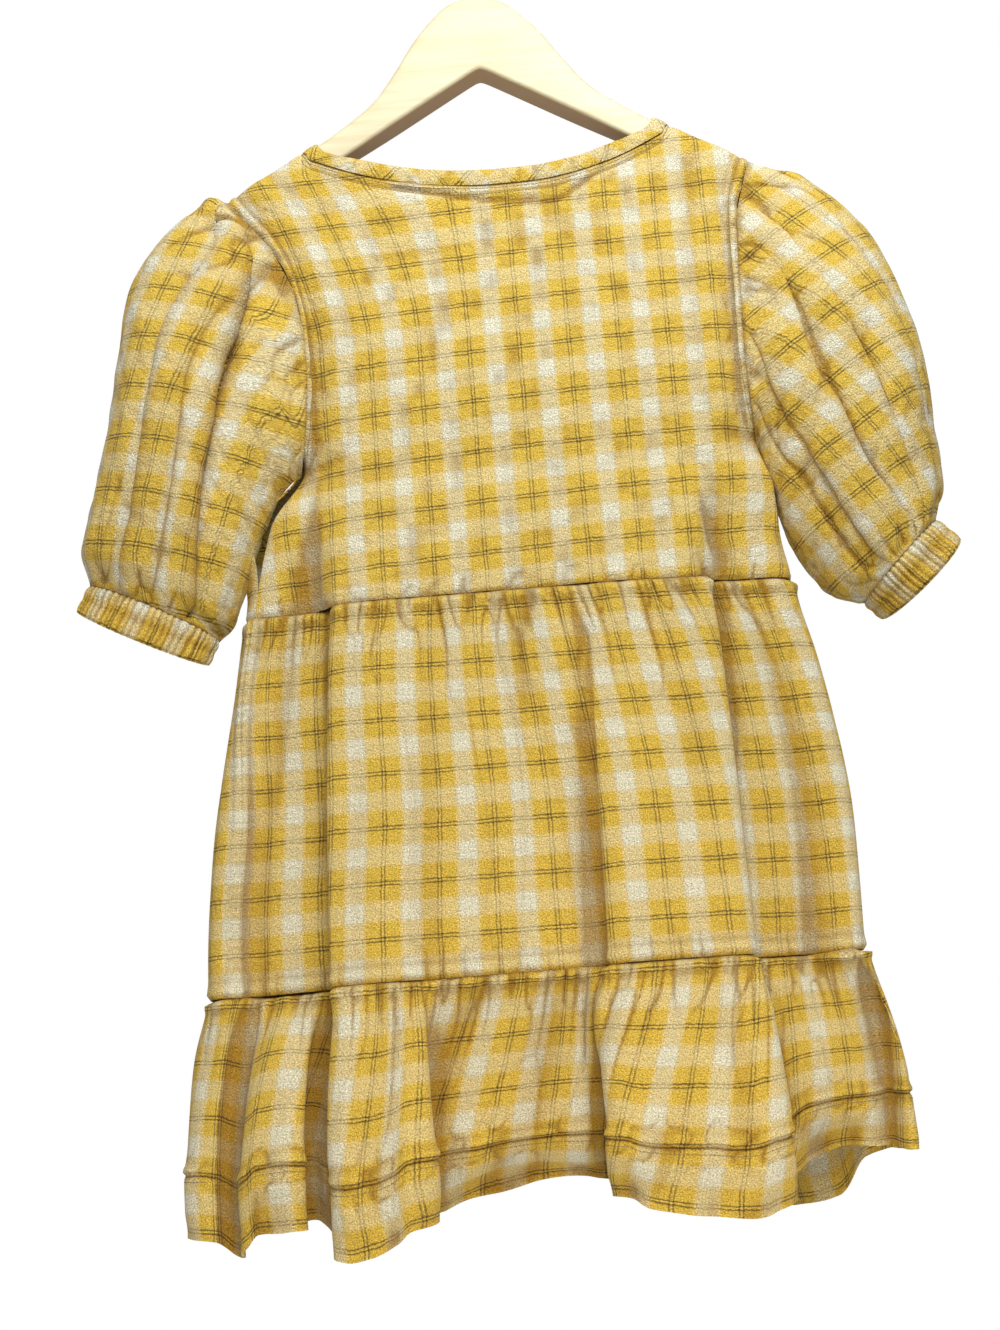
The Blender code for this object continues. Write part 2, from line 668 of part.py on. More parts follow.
def middle_tier(side):
    """The gathered panel from the waist to the tier seam."""
    middle = (WAIST_Z + TIER_Z) / 2
    shares = even_shares(side, lambda turn: body_point(turn, middle), level_at(middle), MIDDLE_COLUMNS[side])
    outer, normals, depths = [], [], []
    for r in range(MIDDLE_ROWS + 1):
        spread = (r / MIDDLE_ROWS) ** MIDDLE_ROW_SPREAD
        z = mix(WAIST_Z - HALF_SEAM, TIER_Z + HALF_SEAM, spread)
        level = level_at(z)
        turns = [panel_turn(side, share, level) for share in shares]
        outer.append([body_point(turn, z) for turn in turns])
        normals.append([level_normal(lambda turn: body_point(turn, z), turn) for turn in turns])
        depths.append(WAIST_Z - z)
    gathered(outer, normals, depths)
    part_seam(outer, normals)
    inner = offset_grid(outer, normals, [CLOTH] * len(outer))
    return cloth_wall("middle_tier_" + side, outer, inner, False)


def hem_plan(turn):
    """The hem's place in plan, with its flutes."""
    near = math.sin(turn) > 0
    edges = BACK_FLUTES if near else FRONT_FLUTES
    start = BACK_HEM_START if near else FRONT_HEM_START
    x, y = folded_point(HEM_LEVEL, turn, edges, start)
    return Vector((x, y, 0.0))


def hem_curl(turn):
    """How far the hem band curls inward at a turn, none at the side edges."""
    x, y = outline_point(HEM_LEVEL, turn)
    fade = smooth(min(x - HEM_LEVEL.left, HEM_LEVEL.right - x) / EDGE_FADE)
    if math.sin(turn) > 0:
        return along([(row.x, row.depth) for row in HEM_CURLS], x) * fade
    return -FRONT_CURL * fade


def hem_lift(turn):
    """How much of the ruffle's drop is taken up where it is hitched."""
    x, y = outline_point(HEM_LEVEL, turn)
    lift = along([(row.x, row.lift) for row in HEM_CURLS], x)
    return lift if math.sin(turn) > 0 else mix(FRONT_LIFT, lift, 1 - smooth(abs(y) / 0.030))


def ruffle_plan(turn, s):
    """The plan place of the ruffle's cloth at a length s below the tier seam."""
    top = body_point(turn, TIER_Z)
    low = hem_plan(turn)
    share = smooth(s / RUFFLE_LENGTH) * 0.6 + 0.4 * s / RUFFLE_LENGTH
    plan = Vector((mix(top.x, low.x, share), mix(top.y, low.y, share), 0.0))
    inward = smooth((s - CURL_START) / (RUFFLE_LENGTH - CURL_START))
    plan.y += hem_curl(turn) * inward * inward
    return plan


def ruffle_column(turn, lengths):
    """One column of the ruffle: it drops by what its sideways travel leaves of its length."""
    z = TIER_Z - HALF_SEAM
    steps = 4
    drop = 1.0 - hem_lift(turn) / RUFFLE_LENGTH
    column = []
    last_plan, last_s = ruffle_plan(turn, 0.0), 0.0
    for s in lengths:
        start = last_s
        for k in range(1, steps + 1):
            here = mix(start, s, k / steps)
            plan = ruffle_plan(turn, here)
            length = here - last_s
            travel = (plan - last_plan).length
            z -= drop * math.sqrt(max(length ** 2 - travel ** 2, (LEAST_DROP * length) ** 2))
            last_plan, last_s = plan, here
        column.append(Vector((last_plan.x, last_plan.y, z)))
    return column


def bottom_tier(side):
    """The ruffle from the tier seam to the hem. Its turned hem makes the wall thicker below."""
    shares = even_shares(side, lambda turn: (body_point(turn, TIER_Z) + hem_plan(turn)) / 2,
                         level_at(TIER_Z), BOTTOM_COLUMNS[side])
    tier = level_at(TIER_Z)
    turns = [panel_turn(side, share, tier) for share in shares]
    columns = [ruffle_column(turn, RUFFLE_ROWS) for turn in turns]
    outer = [[column[r] for column in columns] for r in range(len(RUFFLE_ROWS))]
    normals = []
    for s in RUFFLE_ROWS:
        normals.append([level_normal(lambda turn: ruffle_plan(turn, s), turn) for turn in turns])
    gathered(outer, normals, RUFFLE_ROWS)
    part_seam(outer, normals)
    thickness = [CLOTH if s < RUFFLE_LENGTH - HEM_DEPTH - 0.001 else HEM_CLOTH for s in RUFFLE_ROWS]
    inner = offset_grid(outer, normals, thickness)
    return cloth_wall("bottom_tier_" + side, outer, inner, False)


def sleeve_section(hand, t):
    rows = SLEEVES[hand]
    fields = Section._fields[1:]
    return Section(t, *(along([(row.t, getattr(row, field)) for row in rows], t) for field in fields))


def section_point(section, turn):
    """A point of a sleeve's section. Turn 0 is its outer line, 90 degrees the back's side."""
    share = (1 - math.cos(turn)) / 2
    x = mix(section.outer_x, section.inner_x, share)
    z = mix(section.outer_z, section.inner_z, share)
    return Vector((x, -section.depth * math.sin(turn), z))


def armhole_seats(hand):
    """The armhole seam's point for each of the sleeve's columns: down the back, up the front."""
    heights = [ARMHOLE_HEIGHTS[0]]
    for upper, lower, splits in zip(ARMHOLE_HEIGHTS, ARMHOLE_HEIGHTS[1:], ARMHOLE_SPLITS):
        heights += [mix(upper, lower, k / splits) for k in range(1, splits + 1)]
    back = [armhole_point(hand + "_back", z) for z in heights]
    front = [armhole_point(hand + "_front", z) for z in heights]
    return back + front[-2:0:-1]


def sleeve_wrinkle(hand, t, turn):
    """How far the long folds draw the cloth in."""
    depth = 0.0
    degrees = math.degrees(turn) % 360
    for fold in SLEEVE_FOLDS[hand]:
        place = mix(fold.head, fold.cuff, t)
        apart = (degrees - place + 180) % 360 - 180
        depth -= fold.depth * math.exp(-(apart / fold.width) ** 2)
    return depth * smooth(t / FOLD_START) * smooth((1.0 - t) / FOLD_START)


def sleeve_point(hand, t, turn, seat):
    """The sleeve's outer side: the armhole's own curve, opening out into the puff."""
    section = sleeve_section(hand, t)
    point = section_point(section, turn)
    pull = max(0.0, 1 - t / ARMHOLE_BLEND) ** 2
    if pull > 0.0:
        away = seat - section_point(sleeve_section(hand, 0.0), turn)
        point += away * pull
    middle = section_point(section, 0.0).lerp(section_point(section, math.pi), 0.5)
    out = (point - middle).normalized()
    return point + out * sleeve_wrinkle(hand, t, turn)


def cuff_axis(hand):
    """The way out of the cuff, square to its mouth."""
    end = SLEEVES[hand][-1]
    across = Vector((end.outer_x - end.inner_x, 0.0, end.outer_z - end.inner_z)).normalized()
    axis = Vector((across.z, 0.0, -across.x))
    return axis if axis.z < 0 else -axis


def sleeve_rim(point, turn):
    """The way the sleeve's thickness faces at the armhole: as the bodice's, then down below it."""
    side = "back" if math.sin(turn) >= 0 else "front"
    heights = [-height for height in ARMHOLE_HEIGHTS]
    below = Vector((0.0, 0.0, -1.0))
    ways = [rim_direction(side, row, below) for row in range(len(heights))]
    parts = [straight(list(zip(heights, [way[k] for way in ways])), -point.z) for k in range(3)]
    return Vector(parts).normalized()


def sleeve(hand):
    """A puff sleeve: gathered into the armhole and into the cuff."""
    columns = SLEEVE_COLUMNS
    turns = [2 * math.pi * c / columns for c in range(columns)]
    seats = armhole_seats(hand)
    outer = [[sleeve_point(hand, t, turn, seat) for turn, seat in zip(turns, seats)] for t in SLEEVE_ROWS]
    side = -1.0 if hand == "left" else 1.0
    axis = cuff_axis(hand)
    outer[-1] = [point - axis * SEAM for point in outer[-1]]
    centres = [sum(row, Vector()) / columns for row in outer]
    normals = grid_normals(outer, True, lambda r, c: outer[r][c] - centres[r])
    for r, t in enumerate(SLEEVE_ROWS):
        head = HEAD_GATHER * smooth(t / GATHER_START) * math.exp(-t / HEAD_GATHER_REACH)
        cuff = CUFF_GATHER * smooth((1 - t) / GATHER_START) * math.exp(-(1 - t) / CUFF_GATHER_REACH)
        for c, turn in enumerate(turns):
            over = smooth((math.cos(turn) + 0.5) / 0.6)
            hand_of = 1 if c % 2 else -1
            share = hand_of * mix(0.4, 1.0, uneven(c + 7))
            outer[r][c] = outer[r][c] + normals[r][c] * share * (head * over + cuff)
    for c, turn in enumerate(turns):
        normals[0][c] = sleeve_rim(outer[0][c], turn)
        end = normals[-1][c]
        normals[-1][c] = (end - axis * end.dot(axis)).normalized()
    outer[0] = [point + Vector((side * SEAM, 0.0, 0.0)) for point in outer[0]]
    inner = offset_grid(outer, normals, [CLOTH] * len(outer))
    return cloth_wall("sleeve_" + hand, outer, inner, True)


def cuff(hand):
    """The elasticated cuff: ribs on its outer side over a plain inside."""
    end = sleeve_section(hand, 1.0)
    axis = cuff_axis(hand)
    outer, inner = [], []
    for height, proud in ((0.0, 0.0), (CUFF_HEIGHT / 2, -CUFF_PINCH), (CUFF_HEIGHT, 0.0)):
        ring, lining = [], []
        for c in range(CUFF_COLUMNS):
            turn = 2 * math.pi * c / CUFF_COLUMNS
            point = section_point(end, turn)
            small = 0.01
            step = section_point(end, turn + small) - section_point(end, turn - small)
            out = step.cross(axis).normalized()
            if out.dot(point - section_point(end, turn + math.pi)) < 0:
                out = -out
            rib = CUFF_RIB * (1 if c % 2 else -1)
            place = point + axis * height
            ring.append(place + out * (proud + rib))
            lining.append(place + out * (proud - CUFF_CLOTH))
        outer.append(ring)
        inner.append(lining)
    return cloth_wall("cuff_" + hand, outer, inner, True)


def neck_binding():
    """The bias strip round the neck, a little proud of the bodice on both sides."""
    back, front = neck_edge("back"), neck_edge("front")
    loop = back[:-1] + [front[-1 - k] for k in range(len(front) - 1)]
    outer = [[], [], []]
    inner = [[], [], []]
    for point, out, inward in loop:
        seat = Vector((point.x, 0.0 if abs(point.y) < 0.001 else point.y, point.z))
        for row, proud in enumerate(BINDING_CROWN):
            place = seat + inward * mix(HALF_SEAM, BINDING_WIDTH, row / 2)
            outer[row].append(place + out * proud)
            inner[row].append(place - out * BINDING_INSIDE)
    return cloth_wall("neck_binding", outer, inner, True)


def hanger_under(x):
    """The height of the hanger's lower edge: an upturned V with a rounded top."""
    return HANGER_APEX_Z - HANGER_UNDER_SLOPE * (math.hypot(x, HANGER_APEX_ROUND) - HANGER_APEX_ROUND)


def hanger_body():
    """The wooden arms, rounded on their edges, with a hole for the hook's stem."""
    shape = bmesh.new()
    crown = [NECK_HALF_WIDTH * k / 11 for k in range(11)]
    shares = (0.0, 0.3, 0.6, 0.85, 0.95, 0.985, 1.0)
    arm = [mix(NECK_HALF_WIDTH, HANGER_HALF_LENGTH, share) for share in shares]
    stations = [-x for x in reversed((crown + arm)[1:])] + crown + arm
    rings = []
    for x in stations:
        top, under = hanger_top(x), hanger_under(x)
        from_end = HANGER_HALF_LENGTH - abs(x)
        close = mix(HANGER_TIP_SIZE, 1.0, math.sqrt(1 - (1 - min(1.0, from_end / HANGER_TIP)) ** 2))
        middle, half = (top + under) / 2, (top - under) / 2
        ring = []
        for across, up in HANGER_PROFILE:
            y = HANGER_HALF_DEPTH * across * close
            z = middle + half * (2 * up - 1) * close
            ring.append(shape.verts.new((x, y, z)))
        rings.append(ring)
    count = len(HANGER_PROFILE)
    for first, second in zip(rings, rings[1:]):
        for k in range(count):
            m = (k + 1) % count
            shape.faces.new((first[k], first[m], second[m], second[k]))
    shape.faces.new(rings[0])
    shape.faces.new(list(reversed(rings[-1])))
    wood = finish("hanger_body", shape, 40)
    bpy.ops.mesh.primitive_cylinder_add(
        vertices=16,
        radius=HOOK_WIRE_RADIUS + SEAM,
        depth=2 * HOOK_STEM_HOLE,
        location=(0.0, 0.0, hanger_top(0.0)),
    )
    drill = bpy.context.active_object
    drill.name = "hook_hole_cutter"
    drill.hide_render = True
    drill.display_type = "WIRE"
    cut = wood.modifiers.new("Hook hole", "BOOLEAN")
    cut.operation = "DIFFERENCE"
    cut.solver = "EXACT"
    cut.object = drill
    return wood


def hook_route():
    """The wire's centre line: stem, bend back to the side, and the open hook over the rail."""
    centre = Vector((0.0, 0.0, HOOK_WIRE_RADIUS - HOOK_BEND_RADIUS))
    start = hanger_top(0.0) - HOOK_STEM_HOLE + HOOK_STEM_CLEAR
    route = [Vector((0.0, 0.0, start)), Vector((0.0, 0.0, hanger_top(0.0) + HOOK_STEM_RISE))]
    lowest = math.radians(HOOK_FOOT_DEGREES)
    foot = Vector((math.cos(lowest), 0.0, math.sin(lowest))) * HOOK_BEND_RADIUS
    foot += centre
    rise = foot.z - route[1].z
    for k in range(1, HOOK_NECK_STEPS):
        u = k / HOOK_NECK_STEPS
        route.append(Vector((foot.x * smooth(u), 0.0, route[1].z + rise * u)))
    for k in range(HOOK_BEND_STEPS + 1):
        turn = mix(lowest, math.radians(HOOK_TIP_DEGREES), k / HOOK_BEND_STEPS)
        route.append(centre + Vector((math.cos(turn), 0.0, math.sin(turn))) * HOOK_BEND_RADIUS)
    return route


def hanger_hook():
    curve = bpy.data.curves.new("hanger_hook", "CURVE")
    curve.dimensions = "3D"
    curve.bevel_depth = HOOK_WIRE_RADIUS
    curve.bevel_resolution = 2
    curve.use_fill_caps = True
    spline = curve.splines.new("POLY")
    route = hook_route()
    spline.points.add(len(route) - 1)
    for knot, place in zip(spline.points, route):
        knot.co = (*place, 1.0)
    wire = bpy.data.objects.new("hanger_hook", curve)
    bpy.context.scene.collection.objects.link(wire)
    return wire


def build():
    clear_scene()
    for side in ("back", "front"):
        for piece in (bodice(side), middle_tier(side), bottom_tier(side)):
            piece.data.materials.append(make_material(piece.name + "_cloth", YELLOW_CHECK, 0.9))
    for hand in ("left", "right"):
        for piece in (sleeve(hand), cuff(hand)):
            piece.data.materials.append(make_material(piece.name + "_cloth", YELLOW_CHECK, 0.9))
    strip = neck_binding()
    strip.data.materials.append(make_material("neck_binding_cloth", YELLOW_CHECK, 0.9))
    wood = hanger_body()
    wood.data.materials.append(make_material("hanger_wood", PALE_WOOD, 0.45))
    wire = hanger_hook()
    wire.data.materials.append(make_material("hook_steel", STEEL, 0.3, 1.0))


build()
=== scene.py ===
"""Puff sleeve dress on a wooden hanger: its cloth, the hanger's finish, the floor, lights and camera."""
import math
from collections import namedtuple

import bpy
import numpy as np
from bpy.props import FloatProperty, FloatVectorProperty, PointerProperty
from mathutils import Matrix, Quaternion, Vector


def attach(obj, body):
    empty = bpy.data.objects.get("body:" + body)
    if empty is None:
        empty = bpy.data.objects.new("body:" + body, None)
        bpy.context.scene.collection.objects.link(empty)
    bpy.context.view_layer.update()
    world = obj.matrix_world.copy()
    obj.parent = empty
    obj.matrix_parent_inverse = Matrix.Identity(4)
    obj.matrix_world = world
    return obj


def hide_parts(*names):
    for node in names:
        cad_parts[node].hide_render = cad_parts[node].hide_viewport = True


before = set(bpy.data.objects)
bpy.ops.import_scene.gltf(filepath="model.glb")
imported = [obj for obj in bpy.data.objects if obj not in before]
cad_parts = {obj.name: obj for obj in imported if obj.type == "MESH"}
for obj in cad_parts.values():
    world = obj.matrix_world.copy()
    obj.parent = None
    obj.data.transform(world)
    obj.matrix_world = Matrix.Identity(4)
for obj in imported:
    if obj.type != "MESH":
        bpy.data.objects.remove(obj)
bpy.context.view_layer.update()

bl_info = {
    "name": "Puff Sleeve Dress",
    "version": (1, 0, 0),
    "blender": (4, 5, 0),
    "location": "3D View > Sidebar > Dress",
    "description": "Makes a checked puff sleeve dress on its hanger, with a floor, lights and a camera",
    "category": "Object",
}

# Heights of the seams, and how far out the shoulders end
NECK_POINT_Z = -0.2054
SHOULDER_END_Z = -0.2400
SHOULDER_END_X = 0.2025
ARMPIT_Z = -0.4640
WAIST_Z = -0.5750
TIER_Z = -0.8480
RUFFLE_LENGTH = 0.1720
HEM_DEPTH = 0.0450
CLOTH = 0.0014
HANGER_GAP = 0.0006
HALF_SEAM = 0.00015

# Neck
NECK_HALF_WIDTH = 0.1440
NECK_DROP = {"back": 0.0406, "front": 0.0806}
NECK_BOW_POWER = 2.2
NECK_BOW_OUT = 0.0040
NECK_LEAN = 0.022
NECK_TURN_WIDTH = 0.0700
NECK_TILTS = (0, 22, 60, 90)
NECK_STEP = 0.0028
NECK_ROW = 0.0040
NECK_COLUMNS = 18
BINDING_WIDTH = 0.0110
BINDING_LAP = 0.0012
BINDING_THICKNESS = 0.0018
SHOULDER_COLUMNS = 4

# Hanger
HANGER_NECK_X = 0.1315
HANGER_NECK_Z = -0.1980
HANGER_HALF_LENGTH = 0.1930
HANGER_HALF_DEPTH = 0.0100
HANGER_MIDDLE_HALF_DEPTH = 0.0125
HANGER_MIDDLE_HALF_WIDTH = 0.060
HANGER_THINNING_LENGTH = 0.065
HANGER_APEX_Z = -0.1460
HANGER_APEX_ROUND = 0.0025
HANGER_UNDER_SLOPE = 0.604
HANGER_TIP = 0.0060
HANGER_TIP_SIZE = 0.6
HANGER_STATIONS = 110
SHOULDER_SLOPE = (HANGER_NECK_Z - SHOULDER_END_Z) / (SHOULDER_END_X - HANGER_NECK_X)
HANGER_SHOULDER_Z = HANGER_NECK_Z - CLOTH - HANGER_GAP
HANGER_CROWN = (
    (-0.020, -0.0880), (0.000, -0.0830), (0.020, -0.0880), (0.036, -0.1018), (0.050, -0.1182),
    (0.066, -0.1425), (0.083, -0.1650), (0.106, -0.1832), (HANGER_NECK_X, HANGER_SHOULDER_Z))

# How square the body's level sections are: 1 is an ellipse, less is squarer
SECTION_ROUND = 0.77
EDGE_FADE = {"body": 0.045, "hem": 0.016}

Level = namedtuple("Level", "z left right near far left_seam right_seam")
BODY_LEVELS = (
    Level(ARMPIT_Z, -0.158, 0.184, 0.034, 0.032, 0.000, 0.000),
    Level(-0.490, -0.179, 0.191, 0.036, 0.033, 0.002, 0.001),
    Level(-0.520, -0.191, 0.193, 0.037, 0.034, 0.004, 0.002),
    Level(-0.548, -0.199, 0.194, 0.038, 0.036, 0.006, 0.003),
    Level(WAIST_Z, -0.206, 0.199, 0.040, 0.038, 0.008, 0.004),
    Level(-0.640, -0.217, 0.2135, 0.045, 0.043, 0.008, 0.008),
    Level(-0.727, -0.232, 0.224, 0.052, 0.048, 0.019, 0.010),
    Level(-0.790, -0.239, 0.224, 0.056, 0.052, 0.019, 0.012),
    Level(TIER_Z, -0.243, 0.221, 0.060, 0.056, 0.021, 0.012),
)
HEM_LEVEL = Level(TIER_Z - RUFFLE_LENGTH, -0.265, 0.240, 0.066, 0.064, 0.030, 0.014)

# A fold is a step of the cloth across the body, positive where the part to its right
# lies further out. Its place and step are given at the armpit, the waist and the tier seam.
Fold = namedtuple("Fold", "x_armpit x_waist x_tier s_armpit s_waist s_tier width overlap")
FOLD_START = {"back": (0.000, -0.010, -0.028), "front": (0.000, -0.008, -0.022)}
FOLDS = {
    "back": (
        Fold(-0.128, -0.138, -0.148, 0.000, 0.017, 0.032, 0.008, 0.0105),
        Fold(-0.085, -0.090, -0.100, 0.000, -0.003, -0.013, 0.024, 0.000),
        Fold(0.050, 0.048, 0.036, 0.000, 0.002, 0.014, 0.014, 0.004),
        Fold(0.134, 0.134, 0.133, 0.000, -0.016, -0.040, 0.009, 0.0110)),
    "front": (
        Fold(-0.110, -0.116, -0.126, 0.000, 0.010, 0.028, 0.022, 0.004),
        Fold(-0.030, -0.034, -0.042, 0.000, -0.006, -0.020, 0.022, 0.003),
        Fold(0.060, 0.064, 0.072, 0.000, 0.008, 0.024, 0.022, 0.004),
        Fold(0.136, 0.140, 0.150, 0.000, -0.006, -0.016, 0.024, 0.002)),
}

# The ruffle's flutes: steps across the body at the hem, as for the folds
Flute = namedtuple("Flute", "x step width overlap")
HEM_START = {"back": -0.006, "front": -0.010}
FLUTES = {
    "back": (
        Flute(-0.242, -0.014, 0.008, 0.000),
        Flute(-0.226, 0.018, 0.009, 0.003),
        Flute(-0.181, -0.026, 0.010, 0.006),
        Flute(-0.162, 0.036, 0.010, 0.006),
        Flute(-0.098, -0.046, 0.011, 0.010),
        Flute(0.029, 0.048, 0.011, 0.010),
        Flute(0.145, -0.042, 0.011, 0.010)),
    "front": (
        Flute(-0.190, 0.022, 0.020, 0.003),
        Flute(-0.128, -0.032, 0.020, 0.004),
        Flute(-0.050, 0.036, 0.020, 0.005),
        Flute(0.018, -0.034, 0.020, 0.004),
        Flute(0.088, 0.034, 0.020, 0.004),
        Flute(0.160, -0.026, 0.020, 0.003)),
}
# Where narrow pleats crowd together under the tier seam, across the back
PLEAT_GROUPS = (-0.222, -0.170, 0.031, 0.140)
# Across the back: how far the hem band curls in under itself, and how far the ruffle is hitched up
Curl = namedtuple("Curl", "x depth lift")
HEM_CURLS = (
    Curl(-0.270, 0.002, 0.010),
    Curl(-0.241, 0.006, 0.006),
    Curl(-0.230, 0.008, -0.005),
    Curl(-0.221, 0.008, -0.004),
    Curl(-0.213, 0.010, 0.006),
    Curl(-0.185, 0.010, 0.010),
    Curl(-0.172, 0.008, 0.016),
    Curl(-0.160, 0.006, -0.008),
    Curl(-0.135, 0.005, -0.009),
    Curl(-0.118, 0.008, -0.003),
    Curl(-0.104, 0.008, 0.009),
    Curl(-0.092, 0.020, 0.010),
    Curl(-0.030, 0.028, 0.017),
    Curl(0.022, 0.026, 0.020),
    Curl(0.050, 0.011, 0.007),
    Curl(0.090, 0.011, 0.001),
    Curl(0.130, 0.011, -0.002),
    Curl(0.168, 0.020, 0.030),
    Curl(0.245, 0.012, 0.034),
)
# Across the front: the same curl all along, and how far the ruffle is hitched up at each place
FRONT_CURL = 0.010
FRONT_LIFTS = (
    (-0.270, 0.030), (0.110, 0.030), (0.140, 0.003), (0.188, 0.003), (0.208, 0.030), (0.240, 0.034))
CURL_START = RUFFLE_LENGTH - 0.062
LEAST_DROP = 0.35

# The cloth over the hanger: distance from the crest, how far out and how far down it lies
CREST_RUN = (0.0000, 0.0072, 0.0141, 0.0217, 0.0260, 0.0300, 0.0340)
CREST_OUT = (0.0000, 0.0072, 0.0128, 0.0142, 0.0143, 0.0144, 0.0145)
CREST_DOWN = (0.0000, 0.0005, 0.0045, 0.0120, 0.0163, 0.0203, 0.0243)
CREST_ROWS = 3

# Armhole edges from the shoulder end to the armpit, each place as across and depth
ARMHOLE_HEIGHTS = (SHOULDER_END_Z, -0.2405, -0.2445, -0.2520, -0.2850, -0.3205, -0.3565, -0.3920, -0.4280,
                   -0.4500, ARMPIT_Z)
ARMHOLES = {
    "left_back": (
        (-0.2025, 0.0000), (-0.2018, -0.0072), (-0.1998, -0.0128), (-0.1950, -0.0142), (-0.1700, -0.0170),
        (-0.1545, -0.0195), (-0.1480, -0.0220), (-0.1470, -0.0235), (-0.1500, -0.0220), (-0.1535, -0.0150),
        (-0.1580, 0.0000)),
    "left_front": (
        (-0.2025, 0.0000), (-0.2020, 0.0072), (-0.2010, 0.0128), (-0.1990, 0.0142), (-0.1900, 0.0170),
        (-0.1830, 0.0200), (-0.1770, 0.0215), (-0.1700, 0.0205), (-0.1620, 0.0160), (-0.1590, 0.0095),
        (-0.1580, 0.0000)),
    "right_back": (
        (0.2025, 0.0000), (0.2018, -0.0072), (0.2002, -0.0128), (0.1965, -0.0142), (0.1865, -0.0170),
        (0.1835, -0.0195), (0.1820, -0.0210), (0.1805, -0.0205), (0.1810, -0.0160), (0.1825, -0.0095),
        (0.1840, 0.0000)),
    "right_front": (
        (0.2025, 0.0000), (0.2018, 0.0072), (0.2000, 0.0128), (0.1960, 0.0142), (0.1820, 0.0170),
        (0.1750, 0.0200), (0.1715, 0.0215), (0.1715, 0.0215), (0.1750, 0.0180), (0.1795, 0.0110),
        (0.1840, 0.0000)),
}
ARMHOLE_SPLITS = (1, 1, 1, 3, 3, 3, 3, 3, 2, 2)
ARMHOLE_BLEND = 0.34

# Sleeve sections, from armhole (0) to cuff (1): the outer line, the inner line, half the depth
Section = namedtuple("Section", "t outer_x outer_z inner_x inner_z depth")
SLEEVES = {
    "left": (
        Section(0.00, -0.2025, -0.2400, -0.1580, -0.4640, 0.024),
        Section(0.07, -0.2260, -0.2490, -0.1660, -0.4710, 0.035),
        Section(0.18, -0.2530, -0.2720, -0.1750, -0.4820, 0.044),
        Section(0.32, -0.2730, -0.3060, -0.1840, -0.4990, 0.050),
        Section(0.48, -0.2840, -0.3560, -0.1920, -0.5190, 0.052),
        Section(0.64, -0.2940, -0.4070, -0.1990, -0.5400, 0.051),
        Section(0.79, -0.3050, -0.4600, -0.2060, -0.5600, 0.048),
        Section(0.91, -0.3150, -0.5040, -0.2140, -0.5770, 0.042),
        Section(1.00, -0.3190, -0.5370, -0.2250, -0.5855, 0.030)),
    "right": (
        Section(0.00, 0.2025, -0.2400, 0.1840, -0.4640, 0.024),
        Section(0.07, 0.2300, -0.2500, 0.1875, -0.4750, 0.036),
        Section(0.18, 0.2570, -0.2730, 0.1905, -0.4910, 0.046),
        Section(0.32, 0.2820, -0.3060, 0.1935, -0.5100, 0.053),
        Section(0.48, 0.3010, -0.3530, 0.1975, -0.5310, 0.056),
        Section(0.64, 0.3110, -0.4060, 0.2035, -0.5510, 0.056),
        Section(0.79, 0.3140, -0.4590, 0.2150, -0.5730, 0.053),
        Section(0.91, 0.3150, -0.5060, 0.2300, -0.5890, 0.049),
        Section(1.00, 0.3090, -0.5385, 0.2510, -0.5935, 0.042)),
}
# Long folds of a sleeve: (place from armhole to cuff, turn round it in degrees) along each valley,
# its depth and how far its edge lies over it, negative where the edge towards turn 0 is the upper one
LongFold = namedtuple("LongFold", "path depth width overlap")
SLEEVE_FOLDS = {
    "left": (
        LongFold(((0, 26), (0.06, 60), (0.16, 90), (0.33, 106), (0.68, 110), (1, 126)), 0.0150, 8, -0.008),
        LongFold(((0, 12), (0.10, 44), (0.30, 60), (0.60, 62), (1, 66)), 0.0070, 9, 0.003),
        LongFold(((0, 60), (0.30, 82), (1, 92)), 0.0030, 9, -0.001),
        LongFold(((0, 262), (1, 250)), 0.0060, 12, 0.002),
        LongFold(((0, 316), (1, 296)), 0.0050, 12, -0.002)),
    "right": (
        LongFold(((0, 60), (0.09, 78), (0.27, 100), (0.50, 101), (0.74, 95), (1, 74)), 0.0075, 9, 0.004),
        LongFold(((0, 40), (0.14, 64), (0.40, 74), (1, 60)), 0.0055, 9, 0.003),
        LongFold(((0, 26), (0.16, 38), (0.50, 38), (1, 30)), 0.0040, 9, 0.001),
        LongFold(((0, 150), (0.12, 158), (0.48, 144), (0.87, 138), (1, 146)), 0.0060, 9, 0.003),
        LongFold(((0, 112), (0.12, 132), (0.40, 130), (1, 116)), 0.0045, 9, -0.002),
        LongFold(((0, 258), (1, 240)), 0.0060, 12, 0.002),
        LongFold(((0, 316), (1, 300)), 0.0050, 12, -0.002)),
}
SLEEVE_FOLD_FADE = 0.07
# The shadow in a long fold for each metre of its depth
SLEEVE_FOLD_SHADE = {"left": 80, "right": 35}
SLEEVE_PUFF = {"left": 0.0070, "right": 0.0045}
SLEEVE_PUFF_START = {"left": 0.05, "right": 0.10}
CUFF_HEIGHT = 0.0180

# Stitches: length, width and height of one, and the way from one to the next
STITCH_SIZE = (0.0023, 0.0005, 0.0005)
STITCH_PITCH = 0.0029
# Rows and columns of the bodice's grid that the stitching follows
NECK_STITCH_ROWS = (3, 6)
NECK_STITCH_ENDS = (0.165, 0.835)
ARM_STITCH_COLUMN = 5
ARM_STITCH_TOP = 12
ARM_STITCH_FOOT = 2
# The label's side stitching and the crease it pulls into the back, as across and height
LABEL_SIDES = (-0.006, 0.050)
LABEL_HEIGHTS = (-0.264, -0.282)
LABEL_CREASE = ((-0.085, -0.240), (-0.045, -0.250), (-0.014, -0.258), (0.030, -0.262), (0.053, -0.262),
                (0.070, -0.252), (0.088, -0.242))

